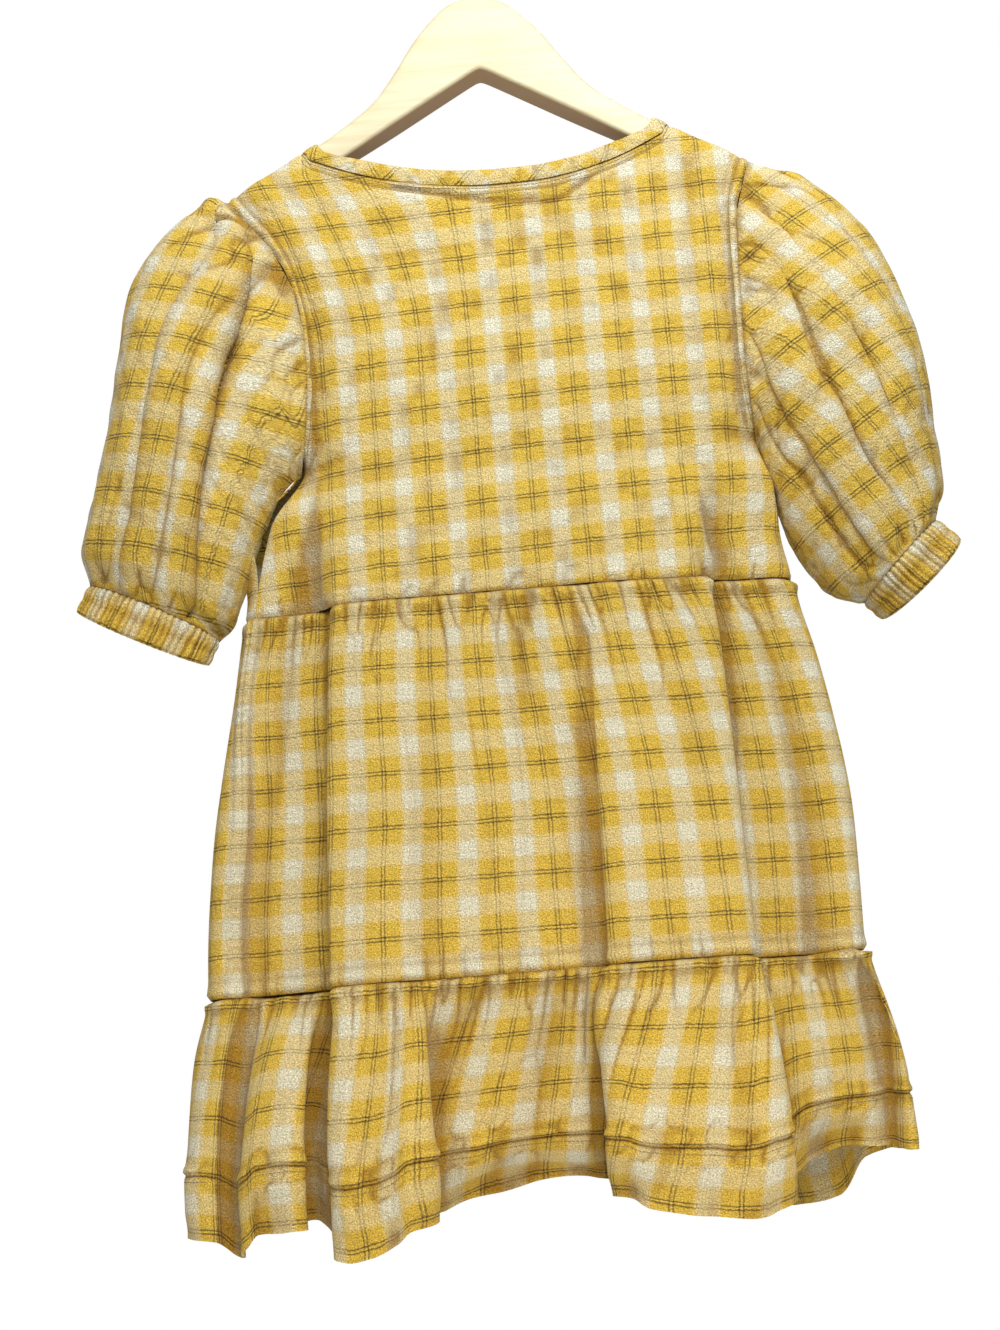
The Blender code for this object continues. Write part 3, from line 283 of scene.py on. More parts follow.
# The cloth of each piece before it was sewn: width and length in metres
FLAT = {
    "bodice": (0.410, 0.380),
    "middle_tier": (0.530, 0.273),
    "bottom_tier": (0.640, 0.172),
    "sleeve": (0.420, 0.330),
    "cuff": (0.300, 0.024),
    "binding": (0.680, 0.011),
}

# The grids' steps: across or round a piece, and down each stretch of it
BODICE_ACROSS = 230
BODICE_DOWN = (8, 97)
MIDDLE_TIER_ACROSS = {"back": 440, "front": 260}
MIDDLE_TIER_DOWN = (15, 65)
MIDDLE_TIER_GATHERED = 0.030
BOTTOM_TIER_ACROSS = {"back": 460, "front": 300}
BOTTOM_TIER_DOWN = (11, 65)
BOTTOM_TIER_GATHERED = 0.024
SLEEVE_ROUND = 250
SLEEVE_DOWN = (19, 57, 19)
SLEEVE_STRETCHES = (0.0, 0.12, 0.88, 1.0)
CUFF_ROUND = 330
CUFF_DOWN = 12
BINDING_STEPS = 420
BINDING_ACROSS = 8

# Hollows are read along an axis (0 down, 1 across) between points so many steps apart, and count as
# deep from the depth given. Together they make full shade from HOLLOW_FULL on.
HOLLOW_REACHES = ((1, 2, 0.0005), (1, 5, 0.0018), (1, 12, 0.0070), (0, 1, 0.0006), (0, 2, 0.0012))
HOLLOW_FULL = 1.6
INSIDE_SHADE = 0.25
SHARP_ANGLE = math.radians(75)

# Relief in the cloth. A wave is a field of humps or puckers: its height, the width and length of one
# and its seed. A ridge runs beside a seam: its height, its place from the seam and its width. In a
# shade, the height is how dark the seam's shadow is. A fade is the length over which a wave dies out.
Wave = namedtuple("Wave", "height across down seed")
Ridge = namedtuple("Ridge", "height place width")
CREASE_START = -0.12
CREASE_SPAN = 0.35
SIDE_EASE = 0.008

# The bodice: its drape, its seams with the sleeves, the waist and the neck, and the label's crease
BODICE_TOP_EASE = 0.030
BODICE_DRAPE = Wave(0.0016, 0.055, 0.160, 3)
BODICE_CRUMPLE = Wave(0.0005, 0.012, 0.016, 4)
ARMPIT_EASE = 0.02
ARMHOLE_PUCKER = Wave(0.0024, 0.0120, 0.030, 5)
ARMHOLE_PUCKER_FADE = 0.012
ARMHOLE_ROLLS = (Ridge(0.0010, 0.0045, 0.0022), Ridge(-0.0007, 0.0085, 0.0016))
ARMHOLE_FULLNESS = (Ridge(0.0026, 0.026, 0.010),)
ARMHOLE_SINK = (Ridge(-0.0014, 0.0, 0.0018),)
ARMHOLE_SHADE = (Ridge(0.70, 0.0, 0.0022),)
WAIST_PUCKER = Wave(0.0022, 0.0110, 0.030, 6)
WAIST_PUCKER_FADE = 0.010
WAIST_SINK = (Ridge(-0.0016, 0.0, 0.0020),)
WAIST_SHADE = (Ridge(0.80, 0.0, 0.0018),)
NECK_SHARE = 0.345
NECK_SHARE_EASE = 0.012
NECK_SINKS = (Ridge(-0.0010, 0.0016, 0.0014), Ridge(-0.0006, 0.0075, 0.0012))
NECK_SHADES = (Ridge(0.85, 0.0006, 0.0017), Ridge(0.45, 0.0075, 0.0012))
LABEL_FOLDS = (Ridge(0.0012, 0.0050, 0.0042), Ridge(-0.0018, 0.0, 0.0024))
LABEL_SHADE = (Ridge(0.35, 0.0, 0.0020),)
LABEL_FADE = 0.020
# The front bodice's fold that fills the hollow under the left arm: its height, its distance from the
# left seam, how tall and wide it is, and how far it reaches across and away
UNDERARM_Z = -0.500
UNDERARM_FROM_LEFT = 0.020
UNDERARM_TALL = 0.034
UNDERARM_WIDE = 0.022
UNDERARM_ACROSS = 0.036
UNDERARM_AWAY = 0.004
# How the check lies on the bodice: moved across and down, leaning, and drawn in above the left arm
CHECK_ACROSS = 0.0044
CHECK_DOWN = -0.0095
CHECK_LEAN = 0.045
DRAWN_IN = 0.028
DRAWN_IN_Z = (-0.37, 0.110)
DRAWN_IN_MOST = 1.3
DRAWN_IN_POWER = 1.5
DRAWN_IN_X = (0.01, 0.13)

# Gathers under a seam: the sway of their lines, then the fine, middle and broad ones, and how far
# they draw the check sideways
GATHER_SWAY = Wave(0.5, 0.020, 0.040, 0)
GATHER_FINE = Wave(1.0, 0.0078, 0.050, 1)
GATHER_FINE_STRENGTH = 2.0
GATHER_FINE_FADE = 0.018
GATHER_MIDDLE = Wave(1.0, 0.0180, 0.160, 2)
GATHER_MIDDLE_SWAY = 0.4
GATHER_MIDDLE_LEAST = 0.10
GATHER_MIDDLE_FADE = 0.050
GATHER_MIDDLE_START = (-0.004, 0.016)
GATHER_BROAD = Wave(0.0034, 0.0300, 0.220, 3)
GATHER_BROAD_START = 0.03
GATHER_START = 0.005
GATHER_SHADE = 0.8
GATHER_SHADE_FADE = 0.016
DRAW_WIDE = Wave(0.0048, 0.034, 0.40, 0)
DRAW_WIDE_LEAST = 0.25
DRAW_WIDE_FADE = 0.09
DRAW_FINE = Wave(0.0022, 0.013, 0.08, 1)
DRAW_FINE_FADE = 0.03

# The middle tier: its gathered head, its foot and the roped seam at its left side
TIER_SEED = {"back": 11, "front": 21}
TIER_DRAW_SEED = 14
TIER_EASE = 1.03
TIER_CHECK_DOWN = 0.0054
TIER_HEAD_PUCKER = Wave(1.0, 0.0085, 0.03, 18)
TIER_HEAD_ROLL = Ridge(0.0016, 0.0045, 0.0036)
TIER_HEAD_ROLL_PUCKER = 0.00256
TIER_HEAD_SINK = (Ridge(-0.0024, 0.0, 0.0022),)
TIER_HEAD_SHADE = (Ridge(0.85, 0.0, 0.0020),)
TIER_FOOT_ROLLS = (Ridge(0.0012, 0.004, 0.004), Ridge(-0.0020, 0.0, 0.0022))
TIER_FOOT_PUCKER = Wave(0.0020, 0.011, 0.03, 17)
TIER_FOOT_PUCKER_FADE = 0.012
TIER_FOOT_SHADE = (Ridge(0.60, 0.0, 0.0016),)
ROPE = (Ridge(0.0018, 0.0022, 0.0024),)
ROPE_DEPTH = 0.12
ROPE_PITCH = 0.0075
ROPE_SINK = (Ridge(-0.0008, 0.0, 0.0010),)

# The ruffle: how it flares, its gathered head, the tuck that holds its hem, its waves and pleats
RUFFLE_SEED = {"back": 31, "front": 41}
RUFFLE_DRAW_SEED = 34
RUFFLE_CHECK_DOWN = 0.012
RUFFLE_FLARE = 2.0
RUFFLE_FLARE_RIGHT = (1.3, 0.150, 0.060)
RUFFLE_FLARE_LEFT = (0.3, -0.190, 0.060)
RUFFLE_EDGE_DEPTH = 0.030
RUFFLE_HEAD_PUCKER = Wave(1.0, 0.0085, 0.03, 36)
RUFFLE_HEAD_ROLL = Ridge(0.0018, 0.0045, 0.0036)
RUFFLE_HEAD_ROLL_PUCKER = 0.00288
RUFFLE_HEAD_SINK = (Ridge(-0.0026, 0.0, 0.0022),)
RUFFLE_HEAD_SHADE = (Ridge(0.85, 0.0, 0.0022),)
RUFFLE_GATHERS_END = 0.02
TUCK_PUCKER = Wave(1.0, 0.0110, 0.012, 37)
TUCK_RIDGE = Ridge(0.0014, 0.0030, 0.0034)
TUCK_RIDGE_PUCKER = 0.0012
TUCK_EDGE = -0.001
TUCK_GROOVE = Ridge(0.0016, 0.0, 0.0014)
TUCK_GROOVE_PUCKER = 0.0010
TUCK_SPREAD = (Ridge(0.0016, -0.007, 0.009), Ridge(0.00096, 0.010, 0.009))
TUCK_SHADE = (Ridge(0.80, 0.0, 0.0012),)
TUCK_STITCHES_BELOW = 0.0040
RUFFLE_DRAPE = Wave(0.0034, 0.034, 0.160, 38)
RUFFLE_DRAPE_START = 0.06
HEM_CRUMPLE = Wave(0.0022, 0.016, 0.060, 40)
HEM_CRUMPLE_START = 0.02
HEM_EDGE_CRUMPLE = Wave(0.0016, 0.011, 0.030, 39)
HEM_EDGE_CRUMPLE_REACH = 0.02
HEM_EDGE_WAVE = Wave(0.0022, 0.022, 1.0, 43)
HEM_EDGE_WAVE_REACH = 0.030
HEM_THICKER = 1.9
PLEATS = Wave(0.0032, 0.009, 0.200, 42)
PLEAT_START = 0.006
PLEAT_LENGTH = 0.130
PLEAT_GROUP_WIDTH = 0.020

# A sleeve: the waves of its gathers, as turns round it and shares of its length, then its shadows
SLEEVE_SEED = {"left": 51, "right": 61}
SLEEVE_END_EASE = 0.02
HEAD_GATHERS = Wave(0.0062, 0.21, 0.11, 0)
HEAD_GATHERS_FADE = 0.10
HEAD_TUBES = Wave(0.0040, 0.52, 0.50, 1)
HEAD_TUBES_FADE = 0.30
FOOT_GATHERS = Wave(0.0044, 0.25, 0.09, 2)
FOOT_GATHERS_FADE = 0.08
FOOT_TUBES = Wave(0.0040, 0.55, 0.30, 3)
FOOT_TUBES_FADE = 0.16
SLEEVE_DRAPE = Wave(0.0016, 0.42, 0.16, 4)
SLEEVE_CRUMPLE = Wave(0.0007, 0.14, 0.045, 5)
GATHERS_UNDER_ARM = 0.30
OVER_ARM = (-0.5, 0.6)
PUFF_ROUND = (-0.2, 1.1)
PUFF_END = 0.08
HEAD_TUFT = (Ridge(0.0060, 0.025, 0.022),)
HEAD_TUFT_START = 0.015
HEAD_TUFT_TURN = 0.7
# Of a long fold's width: its steep side, its gentle side, its lap's place and width, and its shade's
FOLD_STEEP = 0.35
FOLD_GENTLE = 1.7
FOLD_LAP = (0.45, 0.5)
FOLD_SHADE = (0.2, 0.6)
FOLD_SHADE_FADE = 0.05
HEAD_SHADE = (Ridge(0.80, 0.0, 0.006),)
FOOT_SHADE = (Ridge(0.70, 0.0, 0.006),)
HEAD_GATHERS_SHADE = 0.7
HEAD_GATHERS_SHADE_FADE = 0.06
# The room that the left sleeve leaves for the body: how far it gives way, at which degrees, how wide
BODY_ROOM = (Ridge(0.012, -152, 26),)
BODY_ROOM_START = 0.08
BODY_ROOM_END = (0.9, 0.2)

# A cuff: how its depth changes round it, its ribs and the grooves of its seam and middle stitching
CUFF_DEPTH = 1.12
CUFF_SLANT = 0.45
RIB_HEIGHT = 0.0011
RIB_PITCH = 0.0052
RIB_WANDER = Wave(0.0022, 0.009, 0.012, 71)
RIB_STRENGTH = 0.65
RIB_UNEVENNESS = Wave(0.60, 0.011, 1.0, 72)
RIB_AT_EDGES = 0.55
CUFF_SWELL = 0.0009
CUFF_GROOVES = (Ridge(-0.0010, CUFF_HEIGHT / 2, 0.0030), Ridge(-0.0010, 0.0, 0.0016))

BINDING_LEAST = 0.0003
BINDING_CROWN = 0.0010
BINDING_ROUND_POWER = 0.6
BINDING_RIPPLE = Wave(0.0004, 0.006, 0.010, 81)

# Lamps: their size, how wide their light spreads, their colour, place and what they face
Lamp = namedtuple("Lamp", "name size spread colour place target")
KEY_LAMP = Lamp(
    "key_lamp", (1.2, 1.6), math.pi, (1.0, 0.94, 0.82), (-0.75, -1.45, 0.65), (0.0, 0.0, -0.50))
TOP_LAMP = Lamp(
    "top_lamp", (0.9, 0.5), math.pi, (0.93, 0.98, 1.0), (0.24, -0.80, 0.35), (0.0, 0.0, -0.30))
LOW_LAMP = Lamp(
    "low_lamp", (0.7, 0.25), math.radians(60), (1.0, 0.88, 0.66), (0.25, -1.00, -1.20), (0.0, 0.0, -0.97))
FILL_COLOUR = (1.0, 0.96, 0.89, 1.0)
FILL_STRENGTH = 0.34
WHITE = (1.0, 1.0, 1.0, 1.0)
FLOOR_COLOUR = (0.86, 0.86, 0.85, 1.0)
FLOOR_THICKNESS = 0.02
CAMERA_X = -0.0205
CAMERA_Z = -0.955
SENSOR_WIDTH = 36.0
LENS_LENGTH = 54.95


def smooth(value):
    value = np.clip(value, 0.0, 1.0)
    return value * value * (3.0 - 2.0 * value)


def mix(first, second, share):
    return first + (second - first) * share


def resample(values, places, at, tight=False):
    """Read a smooth curve through rows of values at other places, tight where it must not overshoot."""
    values, places, at = np.asarray(values, float), np.asarray(places, float), np.asarray(at, float)
    at = np.clip(at, places[0], places[-1])
    count = len(places)
    index = np.clip(np.searchsorted(places, at, side="right") - 1, 0, count - 2)
    shape = (-1,) + (1,) * (values.ndim - 1)
    low, high = np.maximum(np.arange(count) - 1, 0), np.minimum(np.arange(count) + 1, count - 1)
    slopes = (values[high] - values[low]) / (places[high] - places[low]).reshape(shape)
    if tight:
        steps = np.diff(values, axis=0) / np.diff(places).reshape(shape)
        before = steps[np.maximum(np.arange(count) - 1, 0)]
        after = steps[np.minimum(np.arange(count), count - 2)]
        same = before * after > 0
        total = np.where(same, before + after, 1.0)
        slopes = np.where(same, 2.0 * before * after / total, 0.0)
    span = (places[index + 1] - places[index]).reshape(shape)
    u = ((at - places[index]).reshape(shape)) / span
    start = (1 + 2 * u) * (1 - u) ** 2 * values[index] + u * (1 - u) ** 2 * span * slopes[index]
    end = u * u * (3 - 2 * u) * values[index + 1] + u * u * (u - 1) * span * slopes[index + 1]
    return start + end


def curve(points, at):
    """Read a smooth curve through (place, value) points at one place or many."""
    at = np.asarray(at, float)
    read = resample([value for place, value in points], [place for place, value in points], at.reshape(-1))
    return read.reshape(at.shape)


def unevenness(u, v, seed):
    """Soft unevenness between -1 and 1 over a plane whose grid squares are one unit wide."""
    u, v = np.broadcast_arrays(np.asarray(u, float), np.asarray(v, float))
    column, row = np.floor(u), np.floor(v)
    across, down = smooth(u - column), smooth(v - row)

    def corner(a, b):
        wave = np.sin(a * 127.1 + b * 311.7 + seed * 74.7) * 4375.8543
        return 2.0 * (wave - np.floor(wave)) - 1.0

    upper = mix(corner(column, row), corner(column + 1, row), across)
    lower = mix(corner(column, row + 1), corner(column + 1, row + 1), across)
    return mix(upper, lower, down)


def bump(distance, width):
    return np.exp(-(distance / width) ** 2)


def nearest(values, value):
    """Which of the values is nearest to one."""
    return int(np.argmin(np.abs(values - value)))


def distances(points):
    """The distance of each point from the first, along the line through them all."""
    return np.concatenate(([0.0], np.cumsum(np.linalg.norm(np.diff(points, axis=0), axis=1))))


def spaced(ends, counts):
    """Places from the first end to the last, with so many even steps in each stretch between them."""
    stretches = []
    for start, end, count in zip(ends, ends[1:], counts):
        stretches.append(np.linspace(start, end, count + 1)[:-1])
    return np.append(np.concatenate(stretches), ends[-1])


# The body: the same sections and folds as the solids, read at any height

def level_at(z):
    """The body's level section at a height, read from the table."""
    ordered = sorted(BODY_LEVELS)
    return Level(z, *resample([row[1:] for row in ordered], [row.z for row in ordered], [z])[0])


def outline(level, turns):
    """The plain section at some turns. Turn 0 is the left edge, pi/2 the middle of the back."""
    centre = (level.left + level.right) / 2
    half = (level.right - level.left) / 2
    cosine, sine = np.cos(turns), np.sin(turns)
    x = centre - half * np.sign(cosine) * np.abs(cosine) ** SECTION_ROUND
    depth = np.where(sine > 0, level.near, level.far)
    return x, -depth * np.sign(sine) * np.abs(sine) ** SECTION_ROUND


def fold_shift(edges, start, x):
    """How far the steps up to these places move the cloth across and out."""
    across, out = np.zeros_like(x), np.full_like(x, start)
    for place, step, width, overlap in edges:
        u = (x - place) / width
        out += step * smooth(0.5 + u / 2)
        across -= np.where(np.abs(u) < 1.0, overlap * np.sin(math.pi * u) * (1 - u * u), 0.0)
    return across, out


def at_height(values, z):
    """Read a value given at the armpit, the waist and the tier seam."""
    return float(curve(((TIER_Z, values[2]), (WAIST_Z, values[1]), (ARMPIT_Z, values[0])), z))


def folded(level, turns, edges, starts, edge_fade):
    """The section with the folds of its back and its front, which fade out at the side edges."""
    x, y = outline(level, turns)
    fade = smooth(np.minimum(x - level.left, level.right - x) / edge_fade)
    near = np.sin(turns) > 0
    back_across, back_out = fold_shift(edges["back"], starts["back"], x)
    front_across, front_out = fold_shift(edges["front"], starts["front"], x)
    across = np.where(near, back_across, front_across)
    out = np.where(near, -back_out, front_out)
    return x + across * fade, y + out * fade


def body_edges(side, z):
    strength = at_height((0.0, 0.5, 1.0), z)
    edges = []
    for fold in FOLDS[side]:
        x = at_height((fold.x_armpit, fold.x_waist, fold.x_tier), z)
        step = at_height((fold.s_armpit, fold.s_waist, fold.s_tier), z)
        edges.append((x, step, fold.width, fold.overlap * strength))
    return edges


def body_row(turns, z):
    """A row of points round the bodice or the middle tier at a height."""
    turns = np.asarray(turns, float)
    edges = {side: body_edges(side, z) for side in FOLDS}
    starts = {side: at_height(FOLD_START[side], z) for side in FOLD_START}
    x, y = folded(level_at(z), turns, edges, starts, EDGE_FADE["body"])
    return np.stack((x, y, np.full_like(x, z)), axis=-1)


def hem_row(turns):
    """The hem's place in plan, with its flutes."""
    x, y = folded(HEM_LEVEL, turns, FLUTES, HEM_START, EDGE_FADE["hem"])
    return np.stack((x, y, np.zeros_like(x)), axis=-1)


def seam_turns(level):
    """The turns at which the side seams lie: the left one on the back's side."""
    half = (level.right - level.left) / 2
    left = math.acos((1 - level.left_seam / half) ** (1 / SECTION_ROUND))
    right = math.pi + math.acos((1 - level.right_seam / half) ** (1 / SECTION_ROUND))
    return left, right


def panel_turns(side, shares, level):
    """The turns at shares of a panel's width, left to right as seen from behind for both."""
    left, right = seam_turns(level)
    return mix(left if side == "back" else left + 2 * math.pi, right, np.asarray(shares))


def even_shares(side, row_at, level, count):
    """Shares of a panel's width that divide its cloth evenly at one level."""
    fine = np.linspace(0.0, 1.0, 3001)
    points = row_at(panel_turns(side, fine, level))
    lengths = distances(points)
    return np.interp(np.linspace(0.0, lengths[-1], count + 1), lengths, fine)


# The neck and the shoulders, as on the solids

def hanger_top(x):
    """The height of the hanger's upper edge: a crown, a steep neck and straight shoulders."""
    x = abs(x)
    if x >= HANGER_NECK_X:
        return HANGER_SHOULDER_Z - SHOULDER_SLOPE * (x - HANGER_NECK_X)
    return float(curve(HANGER_CROWN, x))


def hanger_under(x):
    """The height of the hanger's lower edge: an upturned V with a rounded top."""
    return HANGER_APEX_Z - HANGER_UNDER_SLOPE * (math.hypot(x, HANGER_APEX_ROUND) - HANGER_APEX_ROUND)


def crest_z(x):
    """The height of the cloth's outer side on the shoulder line, square to the hanger's slope."""
    reach = 0.002
    slope = (hanger_top(abs(x) + reach) - hanger_top(abs(x) - reach)) / (2 * reach)
    return hanger_top(x) + (CLOTH + HANGER_GAP) * math.hypot(1.0, slope)


def over_hanger(x, run, sign):
    """The cloth's outer side at a distance down from the crest, on one side of the hanger."""
    out = float(np.interp(run, CREST_RUN, CREST_OUT))
    down = float(np.interp(run, CREST_RUN, CREST_DOWN))
    return Vector((x, sign * max(out, HALF_SEAM), crest_z(x) - down))


def neck_edge(side):
    """Points, outward directions and ways to the free edge along one half of the neck seam."""
    sign = -1.0 if side == "back" else 1.0
    edge = []
    corner = over_hanger(NECK_HALF_WIDTH - CREST_ROWS * NECK_STEP, CREST_RUN[CREST_ROWS], sign)
    for c in range(NECK_COLUMNS + 1):
        crossing = min(c, NECK_COLUMNS - c, CREST_ROWS)
        hand = -1.0 if c < NECK_COLUMNS / 2 else 1.0
        if crossing < CREST_ROWS:
            point = over_hanger(hand * (NECK_HALF_WIDTH - crossing * NECK_STEP), CREST_RUN[crossing], sign)
        else:
            share = (c - CREST_ROWS) / (NECK_COLUMNS - 2 * CREST_ROWS)
            x = -corner.x * math.cos(math.pi * share)
            bow = 1 - abs(x / corner.x) ** NECK_BOW_POWER
            low = NECK_POINT_Z - NECK_DROP[side]
            height = mix(corner.z, low - NECK_LEAN * x, bow)
            point = Vector((x, corner.y + sign * NECK_BOW_OUT * bow, height))
        slant = math.atan(SHOULDER_SLOPE)
        up = Vector((hand * math.sin(slant), 0.0, math.cos(slant)))
        tilt = math.radians(NECK_TILTS[crossing])
        out = up * math.cos(tilt) + Vector((0.0, sign, 0.0)) * math.sin(tilt)
        lift = mix(slant, math.pi / 2, float(smooth((corner.x - abs(point.x)) / NECK_TURN_WIDTH)))
        edge.append((point, out, Vector((-hand * math.cos(lift), 0.0, math.sin(lift)))))
    return edge


def armhole_point(name, z):
    """A point of an armhole edge, on straight runs between its rows."""
    heights = [-height for height in ARMHOLE_HEIGHTS]
    x = np.interp(-z, heights, [across for across, depth in ARMHOLES[name]])
    y = np.interp(-z, heights, [depth for across, depth in ARMHOLES[name]])
    return Vector((x, y, z))


def bodice_frame(side):
    """The bodice panel's main rows and columns of points, from its top edge to the waist."""
    sign = -1.0 if side == "back" else 1.0
    top = []
    for c in range(SHOULDER_COLUMNS):
        top.append(over_hanger(-mix(SHOULDER_END_X, NECK_HALF_WIDTH, c / SHOULDER_COLUMNS), 0.0, sign))
    middle = [point - inward * HALF_SEAM for point, out, inward in neck_edge(side)]
    top = top + middle + [Vector((-point.x, point.y, point.z)) for point in reversed(top)]
    last = len(top) - 1
    armpit = level_at(ARMPIT_Z)
    shares = even_shares(side, lambda turns: body_row(turns, ARMPIT_Z), armpit, last)
    low = body_row(panel_turns(side, shares, armpit), ARMPIT_Z)
    rows = [top]
    for r, height in enumerate(ARMHOLE_HEIGHTS[1:], 1):
        left = armhole_point("left_" + side, height)
        right = armhole_point("right_" + side, height)
        share = max(0.0, (height - ARMHOLE_HEIGHTS[CREST_ROWS]) / (ARMPIT_Z - ARMHOLE_HEIGHTS[CREST_ROWS]))
        ease = float(smooth(share))
        row = []
        for c, point in enumerate(top):
            beyond = max(0.0, (abs(point.x) - NECK_HALF_WIDTH) / (top[last].x - NECK_HALF_WIDTH))
            pulled = point.x + ((left.x - top[0].x) if point.x < 0 else (right.x - top[last].x)) * beyond
            spread = mix(left.x, right.x, (low[c][0] - low[0][0]) / (low[last][0] - low[0][0]))
            x = mix(pulled, spread, ease)
            crossing = min(max(0, min(c, last - c) - SHOULDER_COLUMNS), CREST_ROWS + 1)
            if crossing <= CREST_ROWS:
                place = over_hanger(x, CREST_RUN[crossing + min(r, CREST_ROWS)], sign)
            else:
                place = Vector((x, point.y, point.z - NECK_ROW * min(r, CREST_ROWS)))
            if r > CREST_ROWS:
                y = mix(place.y, low[c][1], ease)
                beside = max(0.0, 1 - min(c, last - c) / 4) ** 2
                place = Vector((x, mix(y, (left if c < last / 2 else right).y, beside), 0.0))
                place.z = mix(rows[CREST_ROWS][c].z, ARMPIT_Z, share)
            row.append(place)
        row[0], row[last] = left, right
        rows.append(row)
    rows = [[tuple(point) for point in row] for row in rows]
    for k in (1, 2, 3):
        z = mix(ARMPIT_Z, WAIST_Z + HALF_SEAM, k / 3)
        rows.append([tuple(point) for point in body_row(panel_turns(side, shares, level_at(z)), z)])
    return np.array(rows)


# Sleeves, as on the solids

def section_points(hand, t, turns):
    """A sleeve's section. Turn 0 is its outer line, a quarter turn is the back's side."""
    rows = SLEEVES[hand]
    here = Section(t, *resample([row[1:] for row in rows], [row.t for row in rows], [t])[0])
    share = (1 - np.cos(turns)) / 2
    x = mix(here.outer_x, here.inner_x, share)
    z = mix(here.outer_z, here.inner_z, share)
    return np.stack((x, -here.depth * np.sin(turns), z), axis=-1)


def armhole_seats(hand, turns):
    """The armhole seam's points at turns round the sleeve: down the back, up the front."""
    heights = [ARMHOLE_HEIGHTS[0]]
    for upper, lower, splits in zip(ARMHOLE_HEIGHTS, ARMHOLE_HEIGHTS[1:], ARMHOLE_SPLITS):
        heights += [mix(upper, lower, k / splits) for k in range(1, splits + 1)]
    back = [tuple(armhole_point(hand + "_back", z)) for z in heights]
    front = [tuple(armhole_point(hand + "_front", z)) for z in heights]
    loop = np.array(back + front[-2::-1])
    places = np.linspace(0.0, 2 * math.pi, len(loop))
    at = np.mod(turns, 2 * math.pi)
    return np.stack([np.interp(at, places, loop[:, k]) for k in range(3)], axis=-1)


def from_fold(fold, t, turns):
    """How many degrees turns lie from a long fold, at places along the sleeve."""
    return (np.degrees(turns) - curve(fold.path, t) + 180) % 360 - 180


def sleeve_row(hand, t, turns):
    """A row round the sleeve: the armhole's own curve, opening out into the puff with its long folds."""
    points = section_points(hand, t, turns)
    pull = max(0.0, 1 - t / ARMHOLE_BLEND) ** 2
    if pull > 0.0:
        points = points + (armhole_seats(hand, turns) - section_points(hand, 0.0, turns)) * pull
    middle = section_points(hand, t, np.array([0.0, math.pi])).mean(axis=0)
    out = points - middle
    out /= np.linalg.norm(out, axis=1, keepdims=True)
    depth, slide = np.zeros_like(turns), np.zeros_like(turns)
    for fold in SLEEVE_FOLDS[hand]:
        apart = from_fold(fold, t, turns)
        side = np.sign(fold.overlap)
        reach = np.where(apart * side > 0, FOLD_STEEP * fold.width, FOLD_GENTLE * fold.width)
        depth -= fold.depth * np.exp(-np.abs(apart) / reach)
        slide -= fold.overlap * bump(apart - side * FOLD_LAP[0] * fold.width, FOLD_LAP[1] * fold.width)
    strength = float(smooth(t / SLEEVE_FOLD_FADE) * smooth((1.0 - t) / SLEEVE_FOLD_FADE))
    around = np.roll(points, -1, axis=0) - np.roll(points, 1, axis=0)
    around /= np.linalg.norm(around, axis=1, keepdims=True)
    return points + out * (depth * strength)[:, None] + around * (slide * strength)[:, None]


def cuff_axis(hand):
    """The way out of the cuff, square to its mouth."""
    end = SLEEVES[hand][-1]
    across = Vector((end.outer_x - end.inner_x, 0.0, end.outer_z - end.inner_z)).normalized()
    axis = Vector((across.z, 0.0, -across.x))
    return np.array(axis if axis.z < 0 else -axis)


# Making a shell of cloth from a grid of points

def facing(grid, closed):
    """Unit directions square to a grid of points: across it crossed with down it."""
    if closed:
        across = np.roll(grid, -1, axis=1) - np.roll(grid, 1, axis=1)
    else:
        across = np.gradient(grid, axis=1)
    normal = np.cross(across, np.gradient(grid, axis=0))
    return normal / np.maximum(np.linalg.norm(normal, axis=2, keepdims=True), 1e-9)


def raised(grid, way, height, closed=False):
    """The grid moved out by a height at each point. way is 1 or -1, for which side is out."""
    return grid + facing(grid, closed) * (way * height)[..., None]


def hollows(grid, way, closed):
    """How far each point lies in a hollow between its neighbours, from 0 to 1."""
    out = facing(grid, closed) * way
    rows, columns = grid.shape[:2]
    total = np.zeros((rows, columns))
    for axis, reach, full in HOLLOW_REACHES:
        places = np.arange(grid.shape[axis])
        around = axis == 1 and closed
        before = (places - reach) % columns if around else np.maximum(places - reach, 0)
        after = (places + reach) % columns if around else np.minimum(places + reach, len(places) - 1)
        between = (np.take(grid, before, axis=axis) + np.take(grid, after, axis=axis)) / 2 - grid
        total += np.clip(np.sum(between * out, axis=2) / full, 0.0, 1.0)
    return np.clip(total / HOLLOW_FULL, 0.0, 1.0)


def tubes(u, v, seed):
    """Rounded tubes with sharp creases between them, about 0 on average and 1 from valley to top."""
    return np.sqrt(np.abs(unevenness(u, v, seed))) - 0.6


def rolling(wave, u, v, seed=0):
    """A wave's soft humps, with a seed that is added to its own."""
    return wave.height * unevenness(u / wave.across, v / wave.down, seed + wave.seed)


def puckered(wave, u, v, seed=0):
    """A wave's rounded puckers with sharp creases between them."""
    return wave.height * tubes(u / wave.across, v / wave.down, seed + wave.seed)


def uneven_ridge(shape, change, pucker, distance):
    """A ridge whose height changes along it with a pucker."""
    return (shape.height + change * pucker) * bump(distance - shape.place, shape.width)


def creases(relief):
    """Where tubes meet: 1 in the bottom of a crease, 0 on the tubes."""
    return np.clip((CREASE_START - relief) / CREASE_SPAN, 0.0, 1.0)


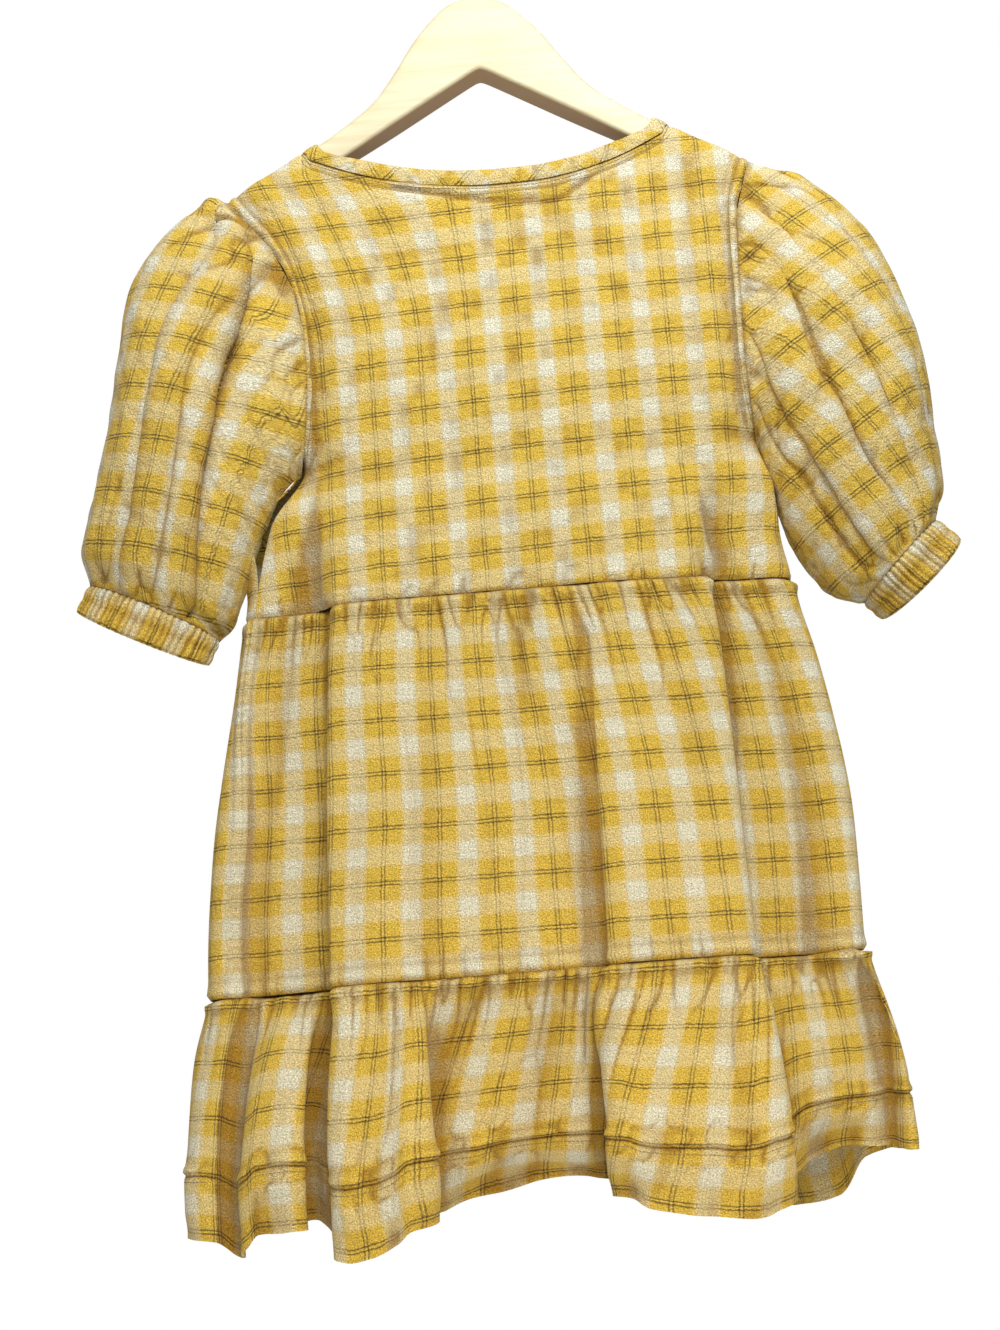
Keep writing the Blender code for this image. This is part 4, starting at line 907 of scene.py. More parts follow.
def ridges(shapes, distance):
    """Ridges and grooves beside a seam, at distances from it."""
    return sum(shape.height * bump(distance - shape.place, shape.width) for shape in shapes)


def rim_to_rim(grid, axis):
    """The distance along a grid from its first row or column."""
    steps = np.linalg.norm(np.diff(grid, axis=axis), axis=2)
    start = np.zeros_like(np.take(steps, [0], axis=axis))
    return np.concatenate((start, np.cumsum(steps, axis=axis)), axis=axis)


def from_sides(grid):
    """The distance across a grid from its left edge, and from the nearer of its side edges."""
    from_left = rim_to_rim(grid, 1)
    return from_left, np.minimum(from_left, from_left[:, -1:] - from_left)


def cloth_piece(name, outer, flat, way, cloth, thickness=None, closed=False, dark=0.0):
    """A thin closed shell on a grid of points, with its flat cloth's places as its UV map and its painted
    shade as an attribute.
    """
    rows, columns = outer.shape[:2]
    thickness = cloth.thickness if thickness is None else thickness
    depth = np.broadcast_to(np.asarray(thickness, float), (rows,))
    inner = outer - facing(outer, closed) * (way * depth)[:, None, None]
    points = np.concatenate((outer.reshape(-1, 3), inner.reshape(-1, 3)))
    # Painted shade: darker in the outer side's hollows and along the seam, crease and fold lines given as
    # dark, with a set share on the inner side
    shade = np.clip(hollows(outer, way, closed) + dark, 0.0, 1.0).reshape(-1)
    shade = np.concatenate((shade, np.full(rows * columns, INSIDE_SHADE)))
    ends = columns if closed else columns - 1
    r, c = np.meshgrid(np.arange(rows - 1), np.arange(ends), indexing="ij")
    d = (c + 1) % columns
    under = rows * columns
    top, low = r * columns, (r + 1) * columns
    corners = np.stack((top + c, top + d, low + d, low + c), axis=-1)
    places = np.stack((flat[r, c], flat[r, c + 1], flat[r + 1, c + 1], flat[r + 1, c]), axis=2)
    faces, charts = [corners, corners[..., ::-1] + under], [places, places[..., ::-1, :]]

    def rim(which, first, second):
        face, chart = corners[which], places[which]
        ends_of = [face[..., first], face[..., second], face[..., second] + under, face[..., first] + under]
        faces.append(np.stack(ends_of, axis=-1))
        charts.append(np.stack([chart[..., k, :] for k in (first, second, second, first)], axis=-2))

    rim((0,), 1, 0)
    rim((-1,), 3, 2)
    if not closed:
        rim((slice(None), 0), 0, 3)
        rim((slice(None), -1), 2, 1)
    face_list = np.concatenate([face.reshape(-1, 4) for face in faces])
    chart_list = np.concatenate([chart.reshape(-1, 4, 2) for chart in charts])
    if way < 0:
        face_list, chart_list = face_list[:, ::-1], chart_list[:, ::-1]
    mesh = bpy.data.meshes.new(name)
    mesh.from_pydata(points.tolist(), [], face_list.tolist())
    chart = mesh.uv_layers.new(name="Cloth")
    chart.uv.foreach_set("vector", chart_list.reshape(-1).astype(np.float32))
    mesh.attributes.new("PaintedShade", "FLOAT", "POINT").data.foreach_set("value", shade.astype(np.float32))
    mesh.shade_smooth()
    mesh.set_sharp_from_angle(angle=SHARP_ANGLE)
    mesh.materials.append(cloth_material(cloth))
    piece = bpy.data.objects.new(name, mesh)
    bpy.context.scene.collection.objects.link(piece)
    return piece


def declare(piece, node):
    """Hang a cloth piece from the root and hide the solid that it stands for."""
    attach(piece, "root")
    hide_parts(node)


# Node materials

def add_node(tree, kind, settings=None, **inputs):
    """A shader node with its settings and its inputs, each a value or another node's output."""
    node = tree.nodes.new(kind)
    for key, value in (settings or {}).items():
        setattr(node, key, value)
    for key, value in inputs.items():
        socket = node.inputs[int(key[1:])] if key[0] == "i" and key[1:].isdigit() else node.inputs[key]
        if isinstance(value, bpy.types.NodeSocket):
            tree.links.new(value, socket)
        else:
            socket.default_value = value
    return node


def maths(tree, operation, first, second=0.0, clamp=False):
    settings = {"operation": operation, "use_clamp": clamp}
    return add_node(tree, "ShaderNodeMath", settings, i0=first, i1=second).outputs[0]


def scaled(tree, source, by, plus=0.0, clamp=False):
    """A value times a number, plus another."""
    settings = {"operation": "MULTIPLY_ADD", "use_clamp": clamp}
    return add_node(tree, "ShaderNodeMath", settings, i0=source, i1=by, i2=plus).outputs[0]


def ramp(tree, source, stops, interpolation="LINEAR"):
    """A colour ramp from (place, colour) stops."""
    node = add_node(tree, "ShaderNodeValToRGB", None, i0=source)
    band = node.color_ramp
    band.interpolation = interpolation
    for k, (place, colour) in enumerate(stops):
        stop = band.elements[k] if k < 2 else band.elements.new(place)
        stop.position = place
    for stop, (place, colour) in zip(band.elements, stops):
        stop.color = (*colour, 1.0)
    return node.outputs[0]


def blend_colours(tree, share, first, second, mode="MIX"):
    node = add_node(tree, "ShaderNodeMix", {"data_type": "RGBA", "blend_type": mode}, i0=share)
    for place, value in ((6, first), (7, second)):
        if isinstance(value, bpy.types.NodeSocket):
            tree.links.new(value, node.inputs[place])
        else:
            node.inputs[place].default_value = (*value, 1.0)
    return node.outputs[2]


def noise(tree, vector, scale, detail=2.0, roughness=0.5):
    node = add_node(
        tree, "ShaderNodeTexNoise", None, Vector=vector, Scale=scale, Detail=detail, Roughness=roughness)
    return node.outputs[0]


def new_material(name):
    material = bpy.data.materials.new(name)
    material.use_nodes = True
    return material, material.node_tree, material.node_tree.nodes["Principled BSDF"]


# One repeat of the check: its place, then how yellow, how dark and how grey the yarn is
Yarn = namedtuple("Yarn", "place yellow line grey")
CHECK_YARNS = (
    Yarn(0.000, 0.00, 0.0, 0.00), Yarn(0.035, 0.00, 0.0, 0.00), Yarn(0.048, 0.00, 0.0, 0.80),
    Yarn(0.060, 0.00, 0.0, 0.80), Yarn(0.073, 0.00, 0.0, 0.00), Yarn(0.125, 0.00, 0.0, 0.00),
    Yarn(0.155, 0.22, 0.0, 0.40), Yarn(0.185, 0.60, 0.0, 0.30), Yarn(0.220, 1.00, 0.0, 0.00),
    Yarn(0.450, 1.00, 0.0, 0.00), Yarn(0.462, 1.00, 1.0, 0.00), Yarn(0.476, 1.00, 1.0, 0.00),
    Yarn(0.488, 0.90, 0.0, 0.00), Yarn(0.512, 0.90, 0.0, 0.00), Yarn(0.524, 1.00, 1.0, 0.00),
    Yarn(0.538, 1.00, 1.0, 0.00), Yarn(0.550, 1.00, 0.0, 0.00), Yarn(0.780, 1.00, 0.0, 0.00),
    Yarn(0.815, 0.60, 0.0, 0.30), Yarn(0.845, 0.22, 0.0, 0.40), Yarn(0.875, 0.00, 0.0, 0.00),
    Yarn(0.927, 0.00, 0.0, 0.00), Yarn(0.940, 0.00, 0.0, 0.80), Yarn(0.952, 0.00, 0.0, 0.80),
    Yarn(0.965, 0.00, 0.0, 0.00),
)


def stirred(tree, chart, place, scale, detail, reach):
    """Places on the cloth moved about by a noise, as its yarns wander."""
    stir = add_node(tree, "ShaderNodeTexNoise", None, Vector=chart, Scale=scale, Detail=detail).outputs[1]
    settings = {"operation": "SCALE"}
    shift = add_node(tree, "ShaderNodeVectorMath", settings, Vector=stir, Scale=reach).outputs[0]
    return add_node(tree, "ShaderNodeVectorMath", None, i0=place, i1=shift).outputs[0]


def yarns(tree, chart, cloth):
    """The warp and the weft at each place: how yellow, how dark and how grey each is."""
    place = stirred(tree, chart, chart, 70.0, 2.0, 0.0018)
    place = stirred(tree, chart, place, 520.0, 1.0, 0.0015)
    axes = add_node(tree, "ShaderNodeSeparateXYZ", None, Vector=place).outputs
    stops = [(row.place, row[1:]) for row in CHECK_YARNS]
    sets = []
    for axis, repeat in ((axes[0], cloth.repeat_across), (axes[1], cloth.repeat_down)):
        turn = maths(tree, "FRACT", maths(tree, "DIVIDE", axis, repeat))
        sets.append(add_node(tree, "ShaderNodeSeparateColor", None, Color=ramp(tree, turn, stops)).outputs)
    return sets


def woven_colour(tree, chart, cloth):
    """The colour of the yarns that cross at each place, with the fine lines over the ground."""
    warp, weft = yarns(tree, chart, cloth)
    fleck = noise(tree, chart, 1500.0, 1.0)
    half = maths(tree, "ADD", scaled(tree, warp[0], 0.58), scaled(tree, weft[0], 0.42))
    apart = maths(tree, "SUBTRACT", warp[0], weft[0])
    lean = maths(tree, "MULTIPLY", apart, scaled(tree, fleck, 1.5, -0.75))
    share = maths(tree, "ADD", half, lean, clamp=True)
    stops = ((0.0, cloth.cream), (0.42, cloth.buff), (0.58, cloth.pale), (1.0, cloth.yellow))
    ground = ramp(tree, share, stops)
    warp_line = maths(tree, "MULTIPLY", warp[1], scaled(tree, weft[0], 0.34, 0.30))
    weft_line = maths(tree, "MULTIPLY", weft[1], scaled(tree, warp[0], 0.42, 0.38))
    line = maths(tree, "ADD", warp_line, weft_line, clamp=True)
    line = maths(tree, "MULTIPLY", line, scaled(tree, fleck, 1.2, 0.40), clamp=True)
    faint = scaled(tree, maths(tree, "ADD", warp[2], weft[2]), 0.16, clamp=True)
    return blend_colours(tree, faint, blend_colours(tree, line, ground, cloth.olive), cloth.grey)


def check_material(cloth):
    """Crinkled plain weave: two sets of dyed yarns that cross, over the puckers of the crepe."""
    material, tree, shader = new_material("yellow_check_cotton")
    chart = add_node(tree, "ShaderNodeUVMap", {"uv_map": "Cloth"}).outputs[0]
    mottle = scaled(tree, noise(tree, chart, 1050.0, 2.0, 0.6), 2.60, -0.28)
    wash = scaled(tree, noise(tree, chart, 26.0, 2.0), 0.14, 0.93)
    tone = maths(tree, "MULTIPLY", mottle, wash)
    tone = add_node(tree, "ShaderNodeCombineColor", None, Red=tone, Green=tone, Blue=tone).outputs[0]
    colour = blend_colours(tree, 1.0, woven_colour(tree, chart, cloth), tone, "MULTIPLY")
    # Painted shade: the cloth's colour is multiplied towards a warm brown as far as the piece's stored shade
    # reaches, in its creases, hollows, seams, fold valleys and on its inner side
    hollow = add_node(tree, "ShaderNodeAttribute", {"attribute_name": "PaintedShade"}).outputs["Fac"]
    shade = scaled(tree, hollow, 0.85, clamp=True)
    colour = blend_colours(tree, shade, colour, (0.50, 0.38, 0.22), "MULTIPLY")
    tree.links.new(colour, shader.inputs["Base Color"])
    crepe = scaled(tree, noise(tree, chart, 150.0, 2.0, 0.5), 1.2)
    height = maths(tree, "ADD", noise(tree, chart, 620.0, 2.0, 0.6), crepe)
    relief = add_node(tree, "ShaderNodeBump", None, Strength=1.0, Distance=cloth.crinkle, Height=height)
    tree.links.new(relief.outputs[0], shader.inputs["Normal"])
    shader.inputs["Roughness"].default_value = 0.88
    shader.inputs["Specular IOR Level"].default_value = 0.25
    shader.inputs["Sheen Weight"].default_value = 0.10
    shader.inputs["Sheen Roughness"].default_value = 0.5
    return material


def cloth_material(cloth):
    """The one check cloth that all pieces are cut from, made when the first piece asks for it."""
    return bpy.data.materials.get("yellow_check_cotton") or check_material(cloth)


def wood_material(hanger):
    """Pale varnished wood, with its grain along the arms, and painted shade on the faces turned down."""
    material, tree, shader = new_material("pale_hanger_wood")
    place = add_node(tree, "ShaderNodeTexCoord").outputs
    stretch = (9.0, 120.0, 150.0)
    along = add_node(tree, "ShaderNodeMapping", None, Vector=place["Object"], Scale=stretch).outputs[0]
    grain = noise(tree, along, 1.0, 4.0, 0.6)
    cloudy = noise(tree, place["Object"], 18.0, 2.0)
    face = ramp(tree, grain, ((0.30, hanger.wood_dark), (0.62, hanger.wood)))
    face = blend_colours(tree, maths(tree, "MULTIPLY", cloudy, 0.25), face, hanger.wood)
    # Painted shade: faces turned down are mixed towards a brown shade colour, for the shade under the arms
    up = add_node(tree, "ShaderNodeSeparateXYZ", None, Vector=place["Normal"]).outputs[2]
    below = add_node(tree, "ShaderNodeMapRange", {"interpolation_type": "SMOOTHSTEP"},
                     i0=up, i1=-0.74, i2=-0.80, i3=0.0, i4=0.85).outputs[0]
    colour = blend_colours(tree, below, face, hanger.underside_shade)
    tree.links.new(colour, shader.inputs["Base Color"])
    relief = add_node(tree, "ShaderNodeBump", None, Strength=0.25, Distance=0.0002, Height=grain)
    tree.links.new(relief.outputs[0], shader.inputs["Normal"])
    shader.inputs["Roughness"].default_value = 0.42
    return material


def thread_material(cloth):
    """Cotton sewing thread, a little uneven in tone."""
    material, tree, shader = new_material("sewing_thread")
    place = add_node(tree, "ShaderNodeTexCoord").outputs["Object"]
    shaded = [0.75 * part for part in cloth.thread]
    tone = ramp(tree, noise(tree, place, 300.0), ((0.3, shaded), (0.7, cloth.thread)))
    tree.links.new(tone, shader.inputs["Base Color"])
    shader.inputs["Roughness"].default_value = 0.8
    return material


def steel_material(hanger):
    """Bright drawn wire with fine marks along it."""
    material, tree, shader = new_material("hook_steel_wire")
    place = add_node(tree, "ShaderNodeTexCoord").outputs["Object"]
    marks = noise(tree, place, 900.0, 3.0)
    tone = ramp(tree, marks, ((0.3, [0.8 * part for part in hanger.steel]), (0.7, hanger.steel)))
    tree.links.new(tone, shader.inputs["Base Color"])
    rough = add_node(tree, "ShaderNodeMapRange", None, i0=marks, i3=0.18, i4=0.34).outputs[0]
    tree.links.new(rough, shader.inputs["Roughness"])
    shader.inputs["Metallic"].default_value = 1.0
    return material


def floor_material():
    """Smooth pale paint."""
    material, tree, shader = new_material("pale_floor_paint")
    shader.inputs["Base Color"].default_value = FLOOR_COLOUR
    shader.inputs["Roughness"].default_value = 0.7
    return material


def colour_choice(name, description, default):
    return FloatVectorProperty(
        name=name, description=description, subtype="COLOR", size=3, min=0.0, max=1.0, default=default)


def length_choice(name, description, default, least, most):
    return FloatProperty(
        name=name, description=description, unit="LENGTH", min=least, max=most, default=default)


class ClothSettings(bpy.types.PropertyGroup):
    yellow: colour_choice("Yellow", "Where yellow yarns cross yellow ones", (0.640, 0.430, 0.060))
    pale: colour_choice("Pale yellow", "Where yellow warp crosses cream weft", (0.722, 0.550, 0.212))
    buff: colour_choice("Buff", "Where cream warp crosses yellow weft", (0.622, 0.497, 0.248))
    cream: colour_choice("Cream", "Where cream yarns cross cream ones", (0.71, 0.667, 0.512))
    olive: colour_choice("Olive", "The double line in the middle of each yellow band", (0.10, 0.062, 0.012))
    grey: colour_choice("Grey", "The faint lines in the cream bands", (0.42, 0.38, 0.30))
    thread: colour_choice("Thread", "The sewing thread of the stitched lines", (0.30, 0.21, 0.07))
    repeat_across: length_choice("Check width", "Width of one repeat of the check", 0.0372, 0.01, 0.1)
    repeat_down: length_choice("Check height", "Height of one repeat of the check", 0.0398, 0.01, 0.1)
    crinkle: length_choice("Crinkle", "Height of the crepe's small puckers", 0.0018, 0.0, 0.003)
    thickness: length_choice("Thickness", "Thickness of the cloth", 0.0009, 0.0003, 0.002)
    gather: length_choice("Gathers", "Depth of the gathers under a seam", 0.0026, 0.0, 0.005)


class HangerSettings(bpy.types.PropertyGroup):
    edge: length_choice("Edge", "Rounding of the arms' long edges", 0.0032, 0.0005, 0.006)
    wood: colour_choice("Wood", "Light part of the grain", (0.72, 0.63, 0.42))
    wood_dark: colour_choice("Dark grain", "Dark part of the grain", (0.60, 0.48, 0.27))
    # Painted shade: the brown that the arms' faces turned down are darkened to
    underside_shade: colour_choice("Underside", "The rougher wood under the arms", (0.66, 0.41, 0.22))
    steel: colour_choice("Steel", "The hook's wire", (0.62, 0.62, 0.60))


class StageSettings(bpy.types.PropertyGroup):
    floor_z: FloatProperty(
        name="Floor height", description="Height of the floor below the hook",
        unit="LENGTH", default=-1.32)
    floor_radius: length_choice("Floor radius", "Radius of the round floor", 1.5, 0.2, 5.0)
    distance: length_choice("Camera distance", "How far the camera stands from the dress", 1.45, 0.3, 5.0)
    pitch: FloatProperty(
        name="Camera pitch", description="How far the camera looks up",
        subtype="ANGLE", default=math.radians(13.0))
    roll: FloatProperty(
        name="Camera roll", description="How far the camera is turned on its own axis",
        subtype="ANGLE", default=math.radians(-4.5))
    key: FloatProperty(
        name="Key light", description="Power of the large lamp at the left",
        unit="POWER", min=0.0, default=10.0)
    top: FloatProperty(
        name="Top light", description="Power of the lamp above the dress",
        unit="POWER", min=0.0, default=14.5)
    low: FloatProperty(
        name="Low light", description="Power of the lamp below, on the ruffle",
        unit="POWER", min=0.0, default=0.68)


def add_lamp(kind, power):
    """A soft rectangular lamp that faces its target."""
    lamp = bpy.data.lights.new(kind.name, "AREA")
    lamp.energy = power
    lamp.shape = "RECTANGLE"
    lamp.size, lamp.size_y = kind.size
    lamp.spread = kind.spread
    lamp.color = kind.colour
    stand = bpy.data.objects.new(kind.name, lamp)
    stand.location = kind.place
    stand.rotation_mode = "QUATERNION"
    stand.rotation_quaternion = (Vector(kind.target) - stand.location).to_track_quat("-Z", "Y")
    bpy.context.scene.collection.objects.link(stand)


def add_floor(stage):
    bpy.ops.object.select_all(action="DESELECT")
    middle = (0.0, 0.0, stage.floor_z - FLOOR_THICKNESS / 2)
    bpy.ops.mesh.primitive_cylinder_add(
        vertices=128, radius=stage.floor_radius, depth=FLOOR_THICKNESS, location=middle)
    floor = bpy.context.active_object
    floor.name = "pale_floor"
    floor.data.materials.append(floor_material())


def add_backdrop(scene):
    """A plain white backdrop to the camera, and a softer, warmer fill light to the cloth."""
    scene.world = bpy.data.worlds.new("studio")
    scene.world.use_nodes = True
    tree = scene.world.node_tree
    backdrop = tree.nodes["Background"]
    backdrop.inputs[0].default_value = WHITE
    backdrop.inputs[1].default_value = 1.0
    fill = add_node(tree, "ShaderNodeBackground", None, i0=FILL_COLOUR, i1=FILL_STRENGTH)
    ray = add_node(tree, "ShaderNodeLightPath").outputs["Is Camera Ray"]
    both = add_node(tree, "ShaderNodeMixShader", None, i0=ray, i1=fill.outputs[0], i2=backdrop.outputs[0])
    tree.links.new(both.outputs[0], tree.nodes["World Output"].inputs[0])


def add_camera(scene, stage):
    """The camera stands level with the ruffle, looks up and is turned a little, as in the photograph."""
    lens = bpy.data.cameras.new("photo_camera")
    lens.sensor_width = SENSOR_WIDTH
    lens.lens = LENS_LENGTH
    camera = bpy.data.objects.new("photo_camera", lens)
    camera.location = (CAMERA_X, -stage.distance, CAMERA_Z)
    camera.rotation_mode = "QUATERNION"
    tip = Quaternion((1.0, 0.0, 0.0), math.pi / 2 + stage.pitch)
    camera.rotation_quaternion = tip @ Quaternion((0.0, 0.0, 1.0), stage.roll)
    scene.collection.objects.link(camera)
    scene.camera = camera


def along_line(at, places, values):
    """Read points or directions at a distance along a line."""
    return Vector([np.interp(at, places, values[:, k]) for k in range(3)])


def sew(name, lines, cloth):
    """Lay stitches along lines of (points, outward directions): one thread is modelled and copied."""
    bpy.ops.object.select_all(action="DESELECT")
    bpy.ops.mesh.primitive_cube_add(size=1.0)
    pattern = bpy.context.active_object
    bpy.ops.transform.resize(value=STITCH_SIZE)
    bpy.ops.object.transform_apply(location=False, rotation=False, scale=True)
    material = bpy.data.materials.get("sewing_thread") or thread_material(cloth)
    pattern.data.materials.append(material)
    copies = []
    for points, outs in lines:
        places = distances(points)
        for at in np.arange(STITCH_PITCH / 2, places[-1] - STITCH_PITCH / 2, STITCH_PITCH):
            ends = [along_line(at + step * STITCH_SIZE[0], places, points) for step in (-0.5, 0.5)]
            out = along_line(at, places, outs)
            along = (ends[1] - ends[0]).normalized()
            beside = out.cross(along).normalized()
            turn = Matrix((along, beside, along.cross(beside))).transposed().to_4x4()
            thread = pattern.data.copy()
            thread.transform(Matrix.Translation((ends[0] + ends[1]) / 2) @ turn)
            copies.append(bpy.data.objects.new(name, thread))
            bpy.context.scene.collection.objects.link(copies[-1])
    bpy.data.objects.remove(pattern)
    for copy in copies:
        copy.select_set(True)
    bpy.context.view_layer.objects.active = copies[0]
    bpy.ops.object.join()
    piece = bpy.context.active_object
    piece.name = name
    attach(piece, "root")
    return piece


def grid_line(grid, way, rows, columns):
    """A line of a finished cloth grid for stitching: its points and the ways out of the cloth."""
    outs = facing(grid, False) * way
    return grid[rows, columns], outs[rows, columns]


def bodice_chart(grid, way):
    """The flat places of the bodice's cloth: across by its own width, down by its height."""
    middle = grid.shape[1] // 2
    level_steps = np.linalg.norm(np.diff(grid[..., :2], axis=1), axis=2)
    across = np.concatenate((np.zeros((grid.shape[0], 1)), np.cumsum(level_steps, axis=1)), axis=1)
    across -= across[:, middle:middle + 1] - grid[:, middle:middle + 1, 0]
    x, z = grid[..., 0], grid[..., 2]
    across = across + CHECK_ACROSS
    if way < 0:
        rise = np.clip((z - DRAWN_IN_Z[0]) / DRAWN_IN_Z[1], 0.0, DRAWN_IN_MOST)
        across = across + DRAWN_IN * rise ** DRAWN_IN_POWER * smooth((DRAWN_IN_X[0] - x) / DRAWN_IN_X[1])
    return np.stack((across, -z + CHECK_LEAN * x + CHECK_DOWN), axis=-1)


def bodice_relief(side, grid, chart):
    """The bodice's relief and the shadows along its seams."""
    u, v = chart[..., 0], chart[..., 1]
    from_side = from_sides(grid)[1]
    from_top = rim_to_rim(grid, 0)
    from_waist = from_top[-1:] - from_top
    below = smooth(from_top / BODICE_TOP_EASE)
    by_armhole = smooth((grid[..., 2] - ARMPIT_Z) / ARMPIT_EASE)
    height = (rolling(BODICE_DRAPE, u, v) + rolling(BODICE_CRUMPLE, u, v)) * below
    pucker = puckered(ARMHOLE_PUCKER, v, from_side) * np.exp(-from_side / ARMHOLE_PUCKER_FADE)
    height += (pucker + ridges(ARMHOLE_FULLNESS, from_side)) * below * by_armhole
    height += puckered(WAIST_PUCKER, u, v) * np.exp(-from_waist / WAIST_PUCKER_FADE)
    height += ridges(ARMHOLE_ROLLS, from_side) * by_armhole + ridges(ARMHOLE_SINK, from_side) * below
    height += ridges(WAIST_SINK, from_waist)
    from_middle = np.abs(np.linspace(-0.5, 0.5, grid.shape[1]))
    by_neck = smooth((NECK_SHARE - from_middle) / NECK_SHARE_EASE)
    height += ridges(NECK_SINKS, from_top) * by_neck
    dark = ridges(NECK_SHADES, from_top) * by_neck + ridges(WAIST_SHADE, from_waist)
    dark += ridges(ARMHOLE_SHADE, from_side) * below * by_armhole
    if side == "back":
        across = grid[..., 0]
        apart = grid[..., 2] - curve(LABEL_CREASE, across)
        first, last = LABEL_CREASE[0][0], LABEL_CREASE[-1][0]
        ends = smooth((across - first) / LABEL_FADE) * smooth((last - across) / LABEL_FADE)
        height += ridges(LABEL_FOLDS, apart) * ends
        dark += ridges(LABEL_SHADE, apart) * ends
    return height, dark


def bodice_stitching(side, grid, way):
    """The stitched lines round the neck, beside the armholes and, on the back, at the label's sides."""
    last = grid.shape[1] - 1
    neck = slice(*[round(last * share) for share in NECK_STITCH_ENDS])
    lines = [grid_line(grid, way, row, neck) for row in NECK_STITCH_ROWS]
    armpit = nearest(grid[:, ARM_STITCH_COLUMN - 1, 2], ARMPIT_Z)
    arm = slice(ARM_STITCH_TOP, armpit - ARM_STITCH_FOOT)
    lines += [grid_line(grid, way, arm, column) for column in (ARM_STITCH_COLUMN, last - ARM_STITCH_COLUMN)]
    if side == "back":
        rows = slice(*[nearest(grid[:, last // 2, 2], z) for z in LABEL_HEIGHTS])
        lines += [grid_line(grid, way, rows, nearest(grid[rows.start, :, 0], x)) for x in LABEL_SIDES]
    return lines


def make_bodice(side, cloth):
    way = -1.0 if side == "back" else 1.0
    main = bodice_frame(side)
    columns = np.arange(main.shape[1])
    across = np.linspace(0, columns[-1], BODICE_ACROSS + 1)
    wide = np.moveaxis(resample(np.moveaxis(main, 1, 0), columns, across, tight=True), 0, 1)
    drops = rim_to_rim(main, 0).mean(axis=1)
    rows = spaced((0.0, drops[CREST_ROWS], drops[-1]), BODICE_DOWN)
    grid = resample(wide, drops, rows, tight=True)
    chart = bodice_chart(grid, way)
    height, dark = bodice_relief(side, grid, chart)
    by_left = bump(rim_to_rim(grid, 1) - UNDERARM_FROM_LEFT, UNDERARM_WIDE)
    under_arm = bump(grid[..., 2] - UNDERARM_Z, UNDERARM_TALL) * by_left
    grid = raised(grid, way, height)
    if side == "front":
        grid[..., 0] -= UNDERARM_ACROSS * under_arm
        grid[..., 1] += UNDERARM_AWAY * under_arm
    piece = cloth_piece(side + "_bodice_cloth", grid, chart, way, cloth, dark=dark)
    declare(piece, side + "_bodice")
    sew(side + "_bodice_stitches", bodice_stitching(side, grid, way), cloth)
    return piece


def fine_gathers(u, depth, seed):
    """The crowded gathers right under a seam, and how their lines sway."""
    sway = rolling(GATHER_SWAY, u, depth, seed)
    return puckered(GATHER_FINE, u + sway * GATHER_FINE.across, depth, seed), sway


def gathers(cloth, u, depth, seed):
    """The height of the gathers under a seam: fine and crowded there, fewer and softer below."""
    fine, sway = fine_gathers(u, depth, seed)
    fine = GATHER_FINE_STRENGTH * fine * np.exp(-depth / GATHER_FINE_FADE)
    shift = GATHER_MIDDLE_SWAY * sway * GATHER_MIDDLE.across
    start, rise = GATHER_MIDDLE_START
    strength = (GATHER_MIDDLE_LEAST + np.exp(-depth / GATHER_MIDDLE_FADE)) * smooth((depth - start) / rise)
    middle = puckered(GATHER_MIDDLE, u + shift, depth, seed) * strength
    broad = rolling(GATHER_BROAD, u, depth, seed) * smooth(depth / GATHER_BROAD_START)
    return smooth(depth / GATHER_START) * (cloth.gather * (fine + middle) + broad)


def gather_shade(u, depth, seed):
    """The shadow in the creases between the gathers, darkest at the seam."""
    return GATHER_SHADE * creases(fine_gathers(u, depth, seed)[0]) * np.exp(-depth / GATHER_SHADE_FADE)


def evenly(grid, width):
    """Places across the flat cloth when each row of it is gathered evenly."""
    length = rim_to_rim(grid, 1)
    return (length / length[:, -1:] - 0.5) * width


def drawn_up(u, depth, seed):
    """How far gathering pulls the flat cloth's places sideways."""
    wide = rolling(DRAW_WIDE, u, depth, seed) * (DRAW_WIDE_LEAST + np.exp(-depth / DRAW_WIDE_FADE))
    return wide + rolling(DRAW_FINE, u, depth, seed) * np.exp(-depth / DRAW_FINE_FADE)


